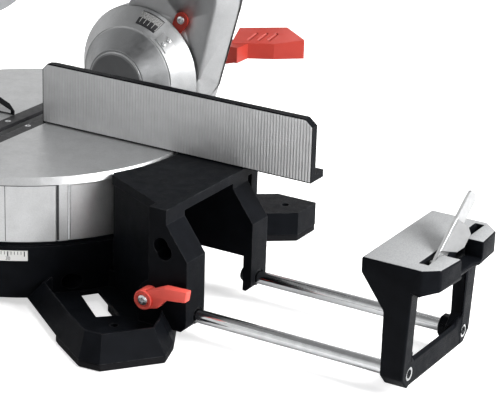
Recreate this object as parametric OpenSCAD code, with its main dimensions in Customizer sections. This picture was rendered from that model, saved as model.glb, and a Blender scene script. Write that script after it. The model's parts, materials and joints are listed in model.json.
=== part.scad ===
// Sliding compound mitre saw with pull-out table extensions.
// Frame: origin on the bench under the turntable axis, +X right along the fence, +Y back, +Z up.

/* [Base] */
// Height of the table top above the bench
table_z = 137; // [130:1:145]
// Thickness of the foot pads
pad_t = 7.5; // [5:0.5:9]
// Half width of the base between its two end faces
base_half_w = 300; // [294:1:310]
// How far the base ring stands out from the drum
ring_lip = 3; // [2:0.5:4]
// Wall of the ring
ring_wall = 10; // [8:1:14]
// Top of the deck inside the ring
deck_z = 64; // [60:1:66]
// Thickness of the deck
deck_t = 8; // [6:1:10]
// Thickness of the wing plates beside the turntable
wing_t = 10; // [8:1:12]
// Front face of the base, in front of the fence
base_front = 147; // [142:0.5:152]
// Depth of the wing behind the fence face
wing_back = 28; // [26:1:34]
// Width of the front columns
column_w = 45; // [40:1:52]
// Depth of the front columns
column_d = 33.5; // [33:0.5:40]
// Height of the rim round the front feet
rim_z = 30; // [26:1:34]
// Radius of the bench bolt holes
bench_hole_r = 4.25; // [3.5:0.25:5]
// Bench bolt holes inside the base's end faces
bench_inset = 70; // [66:1:74]
// Bench bolt hole distance from the middle, across the fence
bench_y = 170; // [168:1:174]

/* [Turntable] */
// Radius of the turntable drum
drum_r = 190; // [184:1:191]
// Lower edge of the drum
drum_z = 68; // [67:1:72]
// Wall of the drum
drum_wall = 9; // [7:1:12]
// Thickness of the table plate
plate_t = 12; // [10:1:14]
// Height of the bevelled band under the table's edge
band_h = 7.6; // [5:0.2:10]
// Reach of the front nose from the middle
nose_y = 288; // [284:1:300]
// Half width of the front nose
nose_half_w = 40; // [39:1:44]
// Height of the mitre lock spindle where it meets the ring
spindle_z = 40; // [39:1:41]
// Rise of the mitre lock spindle towards its knob, degrees
spindle_a = 18.6; // [17:0.2:20]
// Width of the gap between the kerf plates
kerf_gap = 15; // [14:0.5:16]
// Largest mitre angle either way, degrees
mitre_max = 47; // [45:1:47]

/* [Fence] */
// Height of the fence above the table
fence_h = 67.5; // [62:0.5:75]
// Thickness of the fence plate
fence_t = 9; // [7:1:12]
// Outer end of the fence from the middle
fence_end = 353.5; // [345:0.5:360]
// Inner end of the right fence from the kerf
fence_inner = 18; // [17:0.5:22]
// Height of the fixed left fence above the table
low_fence_h = 20; // [16:1:22]

/* [Extensions] */
// Diameter of the extension rods
rod_d = 14; // [12:0.5:16]
// Height of the rod axes
rod_z = 23.5; // [22:0.5:26]
// Front rod distance in front of the fence face
rod_front = 125; // [122:0.5:128]
// Rear rod distance in front of the fence face
rod_rear = 5.7; // [4:0.1:8]
// Pull-out travel of each extension
ext_travel = 210; // [180:1:210]
// Width of the end frame's legs along the fence
leg_w = 23.5; // [20:0.5:27]
// Depth of the end frame's top flange
flange_h = 26; // [22:1:28]
// Length of the front extension rods
rod_l = 285; // [280:1:290]
// Length of the rear extension rods
rod_rear_l = 251; // [248:1:256]
// Lift of the flip stop in its raised position, degrees
stop_lift = 34; // [28:1:40]

/* [Bevel joint] */
// Radius of the bevel trunnion's band
trunnion_r = 60; // [56:1:62]
// Front face of the trunnion inside the drum's edge
trunnion_inset = 23; // [20:1:26]
// Length of the trunnion
trunnion_l = 49; // [46:1:52]
// Radius of the trunnion's front cap
cap_r = 36.5; // [32:0.5:40]
// Diameter of the bevel pivot bolt
bevel_bolt_d = 16; // [14:1:18]
// Depth of the bevel arm
arm_l = 67; // [62:1:72]

/* [Slide] */
// Diameter of the slide rails
rail_d = 24; // [20:1:26]
// Distance between the two slide rails
rail_gap = 80; // [76:1:84]
// Position of the left rail, right of the blade
rail_x = 20; // [18:1:22]
// Height of the slide rails
rail_z = 300; // [296:1:306]
// Travel of the head along the rails
slide_travel = 180; // [150:1:180]

/* [Head] */
// Diameter of the saw blade
blade_d = 216; // [210:1:216]
// Width of the blade's cut
blade_t = 2.4; // [2:0.2:3]
// Diameter of the blade's bore
blade_bore = 30; // [25:1:30]
// Number of teeth on the blade
blade_teeth = 40; // [24:2:60]
// Arbor distance in front of the fence face, head down
arbor_y = 45; // [42:1:48]
// Depth of the blade below the table top, head down
blade_sink = 8; // [5:0.5:9]
// Chop pivot behind the fence face
pivot_y = 100; // [96:1:104]
// Height of the chop pivot
pivot_z = 338; // [334:1:344]
// Lift of the head from down to rest, degrees
chop_lift = 52; // [48:1:54]
// Radius of the motor housing
motor_r = 44; // [40:1:46]
// Length of the motor housing
motor_l = 115; // [105:1:125]
// Motor axis above the arbor, head down
motor_up = 81; // [78:1:86]
// Motor axis behind the arbor, head down
motor_back = 50; // [46:1:54]

/* [Clearances] */
// Radial running clearance of shafts and rods
run_gap = 0.05; // [0.02:0.01:0.1]
// Clearance of flat faces that pass each other
slip_gap = 0.3; // [0.2:0.05:0.5]
// Clearance between the retracted end frame and the base
nest_gap = 1.5; // [1:0.1:3]

/* [Hidden] */
$fn = 64;
eps = 0.01;
black = "#1c1d20";
silver = "#b4b6b8";
steel = "#cfd1d3";
red = "#d24a42";
grey = "#55575a";

// Derived places of the base and the extensions
ring_r = drum_r + ring_lip;
well_r = ring_r + 0.5;
bench_x = base_half_w - bench_inset;
nest_w = 25;
nest_z0 = 87.5;
nest_z1 = 121.5;
skirt_t = 10;
rod_r = rod_d / 2;
bush_t = 2;
bush_in = 2;
bush_l = 7;
rod_ys = [-rod_front, -rod_rear];
frame_x = base_half_w + nest_gap + ext_travel;
flange_x0 = frame_x - nest_w;
flange_x1 = frame_x + 55.5;
rod_inner_x = frame_x + leg_w - rod_l;
tunnel_x = rod_inner_x - ext_travel - 4;
slot_x0 = frame_x + 26.5;
slot_w = 8;
stop_y = -100;
stop_z = table_z - 8;
stop_t = 3;
stop_pin_r = 2.5;
clamp_x = base_half_w - column_w + 3.5;
clamp_z = 43.5;
clamp_r = 6;
beam_front = -22;
beam_z = 50.5;
post_back = 8;
column_z = 12;
wing_a = 26;

// Derived places of the turntable
lip_z = table_z - band_h;
top_r = drum_r - 3;
trough_z = table_z - 23;
trough_half_w = 15;
trough_wall = 11;
kerf_half_w = 22;
kerf_t = 4;
kerf_left = -6;
kerf_right = kerf_left + kerf_gap;
kerf_back = 66;
kerf_front = -nose_y + 18;
shelf_z = drum_z + 10;
shelf_half_w = 72;
shelf_wall_z = shelf_z + 40;
notch_half_w = 64;
trunnion_front = drum_r - trunnion_inset;
trunnion_back = trunnion_front + trunnion_l;
notch_y = trunnion_front - 15;
pivot_bolt_r = 10;
spindle_r = 5;
lug_half_w = 14;
spindle_tip = ring_r + 2.2;
foot_clear = rim_z + 3;
trunnion_bolt_xs = [-46, -18, 18, 46];
trunnion_bolt_y = trunnion_back - 11;

// Derived places of the bevel arm and the head
bevel_r = bevel_bolt_d / 2;
arm_front = trunnion_back + 2;
arm_back = arm_front + arm_l;
rail_r = rail_d / 2;
rail_xs = [rail_x, rail_x + rail_gap];
housing_front = trunnion_back - 2;
housing_back = arm_back + 5;
bush_wall = 4;
slide_knob_y = (housing_front + housing_back) / 2;
rail_front = 140;
rail_back = housing_back + slide_travel + 16;
blade_r = blade_d / 2;
arbor_z = table_z + blade_r - blade_sink;
motor_y = -arbor_y + motor_back;
motor_z = arbor_z + motor_up;
guard_in = blade_r + 9.5;
guard_wall = 3.5;
guard_out = guard_in + guard_wall;
guard_x0 = -14;
guard_x1 = 15;
guard_skirt = 15;
drive_x0 = guard_x1;
drive_x1 = 50;
drive_wall = 3;
motor_x0 = drive_x1;
motor_x1 = motor_x0 + motor_l;
motor_cap_l = 28;
arbor_r = 10;
shaft_r = 6;
bearing_w = 8;
arbor_pulley_r = 18;
motor_pulley_r = 8;
belt_t = 2.5;
belt_x0 = 26.5;
belt_w = 9;
flange_r = 20;
knuckle_x0 = 34.5;
knuckle_x1 = 68;
ear_l = [12, 34];
ear_r = [86, 108];
pin_r = 7;
ear_rad = 20;
handle_w = 32;
handle_y = -arbor_y - guard_out - 22;
handle_zc = arbor_z + guard_out - 13;
trigger_travel = 6;
button_travel = 4;

// Extrusion of a drawing in Y and Z along the X axis
module along_x(x0, x1) {
    translate([x0, 0, 0]) rotate([90, 0, 90]) linear_extrude(x1 - x0) children();
}

// Extrusion of a drawing in X and Z along the Y axis
module along_y(y0, y1) {
    translate([0, y1, 0]) rotate([90, 0, 0]) linear_extrude(y1 - y0) children();
}

module along_z(z0, z1) {
    translate([0, 0, z0]) linear_extrude(z1 - z0) children();
}

module bar_x(y, z, r, x0, x1) {
    translate([x0, y, z]) rotate([0, 90, 0]) cylinder(r = r, h = x1 - x0);
}

module bar_y(x, z, r, y0, y1) {
    translate([x, y1, z]) rotate([90, 0, 0]) cylinder(r = r, h = y1 - y0);
}

module bar_z(x, y, r, z0, z1) {
    translate([x, y, z0]) cylinder(r = r, h = z1 - z0);
}

module box(x, y, z) {
    translate([x[0], y[0], z[0]]) cube([x[1] - x[0], y[1] - y[0], z[1] - z[0]]);
}

module tube_x(y, z, r0, r1, x0, x1) {
    difference() {
        bar_x(y, z, r1, x0, x1);
        bar_x(y, z, r0, x0 - 1, x1 + 1);
    }
}

module both_sides() {
    children();
    mirror([1, 0, 0]) children();
}

// Rectangle with round corners, centred
module round_rect(w, h, r) {
    square([w - 2 * r, h], center = true);
    square([w, h - 2 * r], center = true);
    for (x = [-1, 1], y = [-1, 1]) translate([x * (w / 2 - r), y * (h / 2 - r)]) circle(r);
}

// Wedge between two angles, from the middle outward
module wedge(r, a0, a1) {
    steps = ceil((a1 - a0) / 40);
    polygon(concat([[0, 0]],
        [for (i = [0 : steps]) let (a = a0 + (a1 - a0) * i / steps) 1.3 * r * [cos(a), sin(a)]]));
}

module ring_arc(r0, r1, a0, a1, z0, z1) {
    intersection() {
        difference() {
            bar_z(0, 0, r1, z0, z1);
            bar_z(0, 0, r0, z0 - 1, z1 + 1);
        }
        along_z(z0, z1) wedge(r1, a0, a1);
    }
}

// Places things on the bevel axis, with X and Z measured from it
module on_bevel() {
    translate([0, 0, table_z]) children();
}

// Lifts the head from its down position to its rest position
module raised() {
    translate([0, pivot_y, pivot_z]) rotate([-chop_lift, 0, 0]) translate([0, -pivot_y, -pivot_z]) children();
}

// Outline of a front foot on the bench, right side
foot_outline = [[113, -157], [base_half_w - 103, -219], [base_half_w - 58, -248], [base_half_w - 34, -246],
    [base_half_w + 7, -194], [base_half_w - 3, -164], [base_half_w - 23, -128], [base_half_w - 75, -75],
    [100, -75]];
foot_mid = [base_half_w - 88, -152];
foot_taper_k = 0.8;
tray_t = 4.5;
foot_window = [[base_half_w - 146, -123], [base_half_w - 134, -106], [base_half_w - 79, -147],
    [base_half_w - 96, -164]];
rear_foot_y = ring_r + 3;
rear_foot = [[100, 112], [150, 75], [base_half_w - 45, rear_foot_y - 40], [base_half_w - 45, rear_foot_y],
    [base_half_w - 95, rear_foot_y]];

// Outline in X and Z of the base's right end, from a given inner edge and lower edge
function end_profile(x0, z0) = [[x0, z0], [base_half_w - 6, z0], [base_half_w, z0 + 6], [base_half_w, nest_z0],
    [base_half_w - nest_w, nest_z1], [base_half_w - nest_w, table_z], [x0, table_z]];

// Foot with a sloped rim round a flat tray, open towards the ring
module front_foot() {
    difference() {
        foot_taper(rim_z - pad_t, pad_t, foot_taper_k) polygon(foot_about(foot_outline));
        foot_taper(rim_z, pad_t + tray_t, 1) scale(foot_taper_k - 0.02) polygon(foot_about(foot_outline));
    }
}

function foot_about(points) = [for (p = points) p - foot_mid];

// Upright extrusion that narrows towards the middle of the foot
module foot_taper(h, z, k) {
    translate([foot_mid.x, foot_mid.y, z]) linear_extrude(h, scale = k)
        children();
}

// Plan of the wing: from the skirt of the well to the front of the column
column_x = base_half_w - column_w;
wing_x = base_half_w - nest_w;
wall_t = 9;
skirt_p = (well_r + 1) * [cos(wing_a), -sin(wing_a)];
column_p = [column_x + 2, -base_front + column_d - 12];
module wing_plan() {
    polygon([[0.7 * well_r, wing_back], [wing_x, wing_back], [wing_x, -base_front], [column_x, -base_front],
        column_p - [2, wall_t], skirt_p - [0, wall_t], skirt_p, [0.7 * well_r, 0]]);
}

// One side of the base: wing, column, post and legs
module base_side() {
    front_foot();
    along_z(pad_t, rim_z + 4) polygon(rear_foot);
    along_z(table_z - wing_t, table_z) wing_plan();
    // Front column with the boss of the clamp shaft
    along_y(-base_front, -base_front + column_d) polygon(end_profile(column_x, column_z));
    bar_y(clamp_x, clamp_z, clamp_boss_r, -base_front, -base_front + column_d);
    box([clamp_x - clamp_boss_r, clamp_x], [-base_front, -base_front + column_d], [pad_t + 1.5, clamp_z]);
    // Rear post and the beam that carries it
    along_y(beam_front, post_back)
        polygon(concat([for (i = [0 : 5]) end_profile(base_half_w - post_w, column_z)[i]],
            [[wing_x - 11, table_z], [wing_x - 11, nest_z1 - 12], [base_half_w - post_w, nest_z0 - 2]]));
    along_y(beam_front, beam_front + beam_t)
        polygon([[0.8 * well_r, beam_z], [base_half_w - post_w + 1, beam_z], [base_half_w - post_w + 1, nest_z0],
            [wing_x - 1, nest_z1], [wing_x - 1, table_z - 1], [0.8 * well_r, table_z - 1]]);
    along_y(wing_back - beam_t, wing_back)
        polygon([[0.8 * well_r, beam_z + 40], [wing_x, beam_z + 40], [wing_x, table_z - 1],
            [0.8 * well_r, table_z - 1]]);
    // Skirt of the well and the wall from it to the column
    ring_arc(ring_r - 2, well_r + skirt_t, -wing_a - 1, 8, pad_t, table_z);
    along_z(pad_t + 6, table_z - 1)
        polygon([skirt_p, column_p, column_p - [0, wall_t], skirt_p - [-4, wall_t]]);
}

post_w = 10;
beam_t = 12;
clamp_boss_r = 15;
boss_r = 28;
tunnel_wall = 3;

module base_casting() color(black) difference() {
    union() {
        difference() {
            bar_z(0, 0, ring_r, pad_t, deck_z);
            // Hollow below the deck, with the pivot boss left standing
            difference() {
                bar_z(0, 0, ring_r - ring_wall, -1, deck_z - deck_t);
                bar_z(0, 0, boss_r, deck_z - deck_t - 22, deck_z);
            }
        }
        // Bearing rim under the drum
        difference() {
            bar_z(0, 0, drum_r - 1, deck_z - 1, drum_z - slip_gap);
            bar_z(0, 0, drum_r - drum_wall - 2, deck_z - 2, drum_z);
        }
        // Wings with the well of the turntable between them, open inside the ring
        difference() {
            both_sides() base_side();
            bar_z(0, 0, well_r, deck_z - 1, table_z + 1);
            bar_z(0, 0, ring_r - ring_wall, -1, deck_z);
        }
        // Closed tunnels that take the pushed-in rods
        both_sides() intersection() {
            for (y = rod_ys) bar_x(y, rod_z, rod_bore_r + tunnel_wall, tunnel_x - tunnel_wall, ring_r);
            bar_z(0, 0, ring_r - 1, 0, deck_z);
        }
    }
    bar_z(0, 0, pivot_bolt_r + run_gap, 0, deck_z + 1);
    bar_z(0, 0, 17, 0, deck_z - deck_t - 12);
    both_sides() {
        // Bores of the extension rods and of their bushes
        for (y = rod_ys) {
            bar_x(y, rod_z, rod_bore_r, tunnel_x, base_half_w - bush_in - bush_l + 1);
            bar_x(y, rod_z, rod_r + bush_t + run_gap, base_half_w - bush_in - bush_l, base_half_w + 1);
        }
        // Twin holes in the front of the column
        bar_y(column_x + 14.4, nest_z0 + 11.2, keyhole_r, -base_front - 1, -base_front + 22);
        bar_y(column_x + 18.4, nest_z0 + 5.2, keyhole_r, -base_front - 1, -base_front + 22);
        // Bore of the clamp lever's shaft and pocket of its shoe
        bar_y(clamp_x, clamp_z, clamp_r + run_gap, -base_front - 1, -base_front + column_d + 1);
        box([clamp_x - 7, clamp_x + 7], [-rod_front - 7, -rod_front + 7], [rod_z, clamp_z - 1]);
        // Window and bench hole of the front foot, bench hole of the rear foot
        along_z(-1, pad_t + tray_t + 1) polygon(foot_window);
        for (y = [-bench_y, bench_y]) bar_z(bench_x, y, bench_hole_r, -1, rim_z + 8);
        // Bolt holes of the fence
        for (x = fence_bolt_xs)
            bar_z(x, fence_bolt_y, fence_bolt_r + run_gap, table_z - wing_t - 8, table_z + 1);
    }
}

rod_bore_r = rod_r + 1.5;
keyhole_r = 8.5;

fence_bolt_xs = [well_r + 20.5, wing_x - 13];
fence_bolt_y = 19;
fence_bolt_r = 4;

module foot_pads() color("#111214") both_sides() {
    difference() {
        along_z(0, pad_t) intersection() {
            polygon(foot_outline);
            translate([base_half_w - 110, -300]) square([150, 180]);
        }
        bar_z(bench_x, -bench_y, bench_hole_r, -1, pad_t + 1);
        along_z(-1, pad_t + 1) polygon(foot_window);
    }
    difference() {
        along_z(0, pad_t) intersection() {
            polygon(rear_foot);
            translate([base_half_w - 95, 100]) square([100, 120]);
        }
        bar_z(bench_x, bench_y, bench_hole_r, -1, pad_t + 1);
    }
}

scale_half_a = 36;
module mitre_scale() color("white")
    ring_arc(ring_r + 0.3, ring_r + 1.3, -90 - scale_half_a, -90 + scale_half_a, spindle_z + 9, deck_z - 4);

// Fence profile in Y and Z: plate with a foot behind it
module fence_section(h) {
    translate([0, table_z + slip_gap]) {
        square([fence_t, h]);
        square([wing_back - 2, 8]);
    }
}

// Plan cut that lets the blade swing past the inner end of a fence
module fence_swing_cut(x) {
    along_z(table_z - 1, table_z + fence_h + 1)
        polygon([[x - 40, 2], [x, 2], [x + 45, wing_back], [x + 45, wing_back + 20], [x - 40, wing_back + 20]]);
}

module fence_bolt_holes() {
    for (x = fence_bolt_xs) bar_z(x, fence_bolt_y, fence_bolt_r + run_gap, table_z - 1, table_z + 20);
}

// Feet of a fence on the wing, clear of the turntable
module fence_seat() {
    box([well_r + 6, wing_x], [0, wing_back - 2], [table_z, table_z + 2]);
}

module fence_right() color(silver) difference() {
    union() {
        along_x(fence_inner, fence_end) fence_section(fence_h);
        fence_seat();
        for (x = [120, 190, 240, 300])
            along_x(x - 3, x + 3)
                polygon([[fence_t - 1, table_z + 1], [wing_back - 3, table_z + 1],
                    [fence_t - 1, table_z + fence_h - 10]]);
    }
    fence_swing_cut(fence_inner);
    // Bevelled top corners at both ends
    along_y(-1, wing_back) {
        polygon([[fence_inner - 1, table_z + fence_h - 8], [fence_inner + 8, table_z + fence_h + 1],
            [fence_inner - 1, table_z + fence_h + 1]]);
        polygon([[fence_end + 1, table_z + fence_h - 8], [fence_end - 10, table_z + fence_h + 1],
            [fence_end + 1, table_z + fence_h + 1]]);
    }
    fence_bolt_holes();
}

// Low fixed fence on the left, sloped away from the tilted blade
module fence_left() color(silver) difference() {
    mirror([1, 0, 0]) {
        along_x(22, fence_end) fence_section(low_fence_h);
        fence_seat();
    }
    mirror([1, 0, 0]) fence_swing_cut(22);
    along_y(-1, wing_back)
        polygon([[-21, table_z + 4], [-66, table_z + low_fence_h + 0.5], [-21, table_z + low_fence_h + 2]]);
    mirror([1, 0, 0]) fence_bolt_holes();
    // Guide groove of the sliding fence
    box([-fence_end - 1, -110], [3, fence_t - 3], [table_z + low_fence_h - 6, table_z + low_fence_h + 1]);
    bar_y(fence_knob_x, fence_knob_z, fence_knob_r + run_gap, fence_t - 4, fence_t + 1);
}

fence_knob_x = -bench_x;
fence_knob_z = table_z + low_fence_h - 3;
fence_knob_r = 2.5;

// Knob behind the fixed fence that locks the sliding fence
module fence_knob() color(red) {
    bar_y(fence_knob_x, fence_knob_z, fence_knob_r, fence_t - 3, wing_back + 2);
    difference() {
        bar_y(fence_knob_x, fence_knob_z, 11, wing_back, wing_back + 14);
        for (a = [0 : 60 : 300])
            bar_y(fence_knob_x + 13.5 * cos(a), fence_knob_z + 13.5 * sin(a), 4, wing_back + 3, wing_back + 15);
    }
}

module fence_slide() color(silver) {
    z0 = table_z + low_fence_h + 2 * slip_gap;
    z1 = table_z + fence_h;
    along_y(0, fence_t)
        polygon([[-150, z0], [-182, z1], [-fence_end + 10, z1], [-fence_end, z1 - 8], [-fence_end, z0]]);
    box([-fence_end, -160], [3 + slip_gap, fence_t - 3 - slip_gap], [z0 - 5.5, z0 + 1]);
}

module fence_bolts() color(steel) both_sides()
    for (x = fence_bolt_xs) {
        bar_z(x, fence_bolt_y, fence_bolt_r, table_z - wing_t - 6, table_z + 8 + slip_gap);
        bar_z(x, fence_bolt_y, fence_bolt_r + 2.4, table_z + 8 + slip_gap, table_z + 14);
    }

module rod_bushes() color("#2a2a2c") both_sides()
    for (y = rod_ys)
        tube_x(y, rod_z, rod_r + run_gap, rod_r + bush_t, base_half_w - bush_in - bush_l,
            base_half_w - bush_in);

module clamp_shoes() color("#b9975b") both_sides() difference() {
    box([clamp_x - 6.8, clamp_x + 6.8], [-rod_front - 6.8, -rod_front + 6.8],
        [rod_z + 1, clamp_z - clamp_r - slip_gap]);
    bar_x(-rod_front, rod_z, rod_r + run_gap, clamp_x - 10, clamp_x + 10);
}

module table_pivot_bolt() color(steel) {
    bar_z(0, 0, pivot_bolt_r, deck_z - deck_t - 22, trough_z - 12);
    bar_z(0, 0, 16, deck_z - deck_t - 22, deck_z - deck_t - 12);
    translate([0, 0, trough_z - 22]) cylinder(r = 15, h = 10, $fn = 6);
}

module nose_outline(inset) {
    polygon([[-nose_half_w + inset, -150], [nose_half_w - inset, -150],
        [nose_half_w - inset, -nose_y + inset + 10], [nose_half_w - inset - 6, -nose_y + inset],
        [-nose_half_w + inset + 6, -nose_y + inset], [-nose_half_w + inset, -nose_y + inset + 10]]);
}

module turntable() color(silver) difference() {
    union() {
        difference() {
            union() {
                bar_z(0, 0, drum_r, drum_z, lip_z);
                translate([0, 0, lip_z]) cylinder(r1 = drum_r, r2 = top_r, h = band_h);
            }
            bar_z(0, 0, drum_r - drum_wall, drum_z - 1, table_z - plate_t);
        }
        bar_z(0, 0, 26, drum_z, table_z - 1);
        for (a = [30, 150, 210, 330])
            rotate(a) box([20, drum_r - 4], [-4, 4], [table_z - 40, table_z - 2]);
        box([-trough_half_w - trough_wall, trough_half_w + trough_wall], [-nose_y + 4, kerf_back + 12],
            [trough_z - 6, table_z]);
        // Front nose, its lug and its front plate
        difference() {
            along_z(drum_z + 2, table_z) nose_outline(0);
            along_z(drum_z, table_z - plate_t) nose_outline(8);
        }
        box([-lug_half_w, lug_half_w], [-ring_r - 26, -ring_r - 12], [foot_clear, table_z - 4]);
        box([-nose_half_w + 6, nose_half_w - 6], [-nose_y, -nose_y + 10], [drum_z - 12, table_z - 4]);
        // Rear shelf that carries the trunnion
        box([-shelf_half_w, shelf_half_w], [120, trunnion_back], [drum_z, shelf_z]);
        for (s = [-1, 1])
            box(s < 0 ? [-shelf_half_w, -notch_half_w] : [notch_half_w, shelf_half_w], [120, trunnion_back],
                [drum_z, shelf_wall_z]);
    }
    // Seat of the kerf plates and the trough under them
    box([-kerf_half_w - 0.2, kerf_half_w + 0.2], [kerf_front - 0.2, kerf_back + 0.2],
        [table_z - kerf_t, table_z + 1]);
    box([-trough_half_w, trough_half_w], [kerf_front + 6, kerf_back - 6], [trough_z, table_z]);
    // Notch for the trunnion
    box([-notch_half_w, notch_half_w], [notch_y, trunnion_back + 1], [shelf_z, table_z + 1]);
    // Pivot bore and its nut pocket
    bar_z(0, 0, pivot_bolt_r + run_gap, drum_z - 1, trough_z - 12);
    bar_z(0, 0, 17, trough_z - 22 - slip_gap, trough_z - 7);
    // Bores of the lock spindle
    on_spindle() cylinder(r = spindle_r + run_gap, h = 130);
    // Slot and bearing of the detent lever
    box([detent_x0 - 2, detent_x1 + 2], [-nose_y - 1, -nose_y + 20], [drum_z + 4, drum_z + 24]);
    bar_x(-nose_y + 34, drum_z + 14, 2.5 + run_gap, -nose_half_w - 1, detent_x0);
    // Side groove and holes of the trunnion bolts
    for (x = trunnion_bolt_xs) bar_z(x, trunnion_bolt_y, 4 + run_gap, drum_z - 1, shelf_z + 1);
    for (a = [-90 - mitre_max + 2, -90 + mitre_max - 2])
        rotate(a) box([drum_r - 1, drum_r + 1], [-0.8, 0.8], [drum_z - 1, lip_z - 1.5]);
    // Set-back sides of the drum
    for (a = [-90 + mitre_max + 1.5, 180 - mitre_max - 1.5 + 12])
        rotate(a) ring_arc(drum_r - 0.8, drum_r + 2, 0, 29, drum_z - 1, lip_z - 1.5);
}

module kerf_plates() color(black) for (x = [[-kerf_half_w, kerf_left], [kerf_right, kerf_half_w]])
    box(x, [kerf_front, kerf_back], [table_z - kerf_t, table_z]);

module mitre_pointer() color(red) {
    box([lug_half_w, lug_half_w + 2], [-ring_r - 24, -ring_r - 14], [spindle_z + 6, spindle_z + 22]);
    along_z(spindle_z + 14, spindle_z + 16)
        polygon([[lug_half_w, -ring_r - 22], [lug_half_w + 10, -ring_r - 12], [lug_half_w + 8, -ring_r - 0.6],
            [lug_half_w + 6, -ring_r - 12], [lug_half_w, -ring_r - 15]]);
}

// Places things along the rising lock spindle, from its tip at the ring
module on_spindle() {
    translate([0, -spindle_tip, spindle_z]) rotate([90 - spindle_a, 0, 0]) children();
}

module mitre_lock_spindle() color(steel) on_spindle() cylinder(r = spindle_r, h = knob_l0 + 22);

knob_l0 = (nose_y - spindle_tip) / cos(spindle_a) + 5;
knob_rad = 20;
module mitre_lock_knob() color(red) on_spindle() difference() {
    union() {
        bar_z(0, 0, 12, knob_l0, knob_l0 + 9);
        bar_z(0, 0, knob_rad, knob_l0 + 8, knob_l0 + 38);
    }
    bar_z(0, 0, spindle_r, knob_l0 - 1, knob_l0 + 22);
    for (a = [0 : 45 : 315])
        bar_z((knob_rad + 3) * cos(a), (knob_rad + 3) * sin(a), 5.5, knob_l0 + 12, knob_l0 + 39);
}

detent_x0 = -nose_half_w + 9;
detent_x1 = detent_x0 + 6;
module detent_lever() color("#6d6f72") {
    box([detent_x0, detent_x1], [-nose_y - 10, -ring_r - 3], [drum_z + 10, drum_z + 17]);
    box([detent_x0, detent_x1], [-ring_r - 8, -ring_r - 3], [deck_z - 2, drum_z + 12]);
    box([detent_x0 - 16, detent_x1], [-nose_y - 24, -nose_y - 9], [drum_z + 9, drum_z + 18]);
    bar_x(-nose_y + 34, drum_z + 14, 2.5, -nose_half_w + 1, detent_x1);
}

// Flared band of the trunnion behind its front cone
band_y = trunnion_front + 23;
band_end = trunnion_back - 1;
band_r0 = trunnion_r + 1;
band_r1 = trunnion_r + 20;
module flare(t, y0, y1) {
    slope = (band_r1 - band_r0) / (band_end - band_y);
    translate([0, y0, 0]) rotate([-90, 0, 0])
        cylinder(r1 = band_r0 + t + slope * (y0 - band_y), r2 = band_r0 + t + slope * (y1 - band_y),
            h = y1 - y0);
}

module bevel_trunnion() color(silver) on_bevel() difference() {
    union() {
        translate([0, trunnion_front, 0]) rotate([-90, 0, 0])
            cylinder(r1 = cap_r + 1.5, r2 = trunnion_r, h = band_y - trunnion_front);
        flare(0, band_y, band_end);
        bar_y(0, 0, trunnion_r, band_end, trunnion_back);
        box([-56, 56], [trunnion_front + 3, trunnion_back], [shelf_z - table_z, -10]);
    }
    // Flat bottom on the shelf and flat sides between its walls
    box([-100, 100], [trunnion_front - 1, trunnion_back + 1], [-100, shelf_z - table_z]);
    for (x = [[-100, -notch_half_w + 1], [notch_half_w - 1, 100]])
        box(x, [trunnion_front - 1, trunnion_back + 1], [-100, shelf_wall_z - table_z + 1]);
    bar_y(0, 0, cap_r + 0.2, trunnion_front - 1, trunnion_front + 2.5);
    bar_y(0, 0, bevel_r + 7, trunnion_front, trunnion_front + 12);
    bar_y(0, 0, bevel_r + run_gap, trunnion_front, trunnion_back + 1);
    for (x = trunnion_bolt_xs)
        bar_z(x, trunnion_bolt_y, 4 + run_gap, shelf_z - table_z - 1, shelf_z - table_z + 20);
}

module trunnion_bolts() color(steel) for (x = trunnion_bolt_xs) {
    bar_z(x, trunnion_bolt_y, 4, drum_z - 1, shelf_z + 18);
    translate([x, trunnion_bolt_y, drum_z - 5.3]) cylinder(r = 7.5, h = 5.3, $fn = 6);
}

module trunnion_cap() color(grey) on_bevel() {
    bar_y(0, 0, cap_r, trunnion_front - 1, trunnion_front + 2.5);
    translate([0, trunnion_front - 1, 0]) rotate([90, 0, 0]) cylinder(r1 = cap_r - 1, r2 = cap_r - 4, h = 1.5);
}

// Thin piece on the flared band, between two angles seen from the front
module on_flare(t, a0, a1, y0, y1) {
    on_bevel() intersection() {
        difference() {
            flare(t, y0, y1);
            flare(eps, y0 - 1, y1 + 1);
        }
        along_y(y0, y1) wedge(band_r1 + 10, a0, a1);
    }
}

module bevel_scale() color("#222326") on_flare(1.2, 61, 84, band_y + 6, band_end - 4);

module bevel_stop_plate() color(steel) on_flare(1.8, 36, 54, band_y + 2, band_y + 13);

module bevel_pivot_bolt() color(steel) on_bevel() {
    bar_y(0, 0, bevel_r, trunnion_front + 4, arm_back + 26);
    bar_y(0, 0, bevel_r + 6, trunnion_front + 3, trunnion_front + 12 - eps);
}

// Outlines of the arm at its front, at its widest place and at its back, from the bevel axis
arm_face = [[-52, 0], [0, -54], [58, -36], [82, 7], [98.5, 87], [105, 128], [4, 128]];
arm_mid = [[-52, 0], [0, -60], [58, -46], [81, -23], [93, -6], [103, 33], [110, 65], [118, 88], [124, 128],
    [4, 128]];
arm_tail = [[-52, 0], [0, -60], [36, -50], [56, -23], [68, -6], [78, 33], [85, 65], [93, 88], [99, 128],
    [4, 128]];
arm_pocket = [[18, 28], [62, 28], [78, 88], [80, 114], [18, 114]];
arm_mid_y = arm_front + 28;
pointer_x = 57;
pointer_z = 73;

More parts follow.
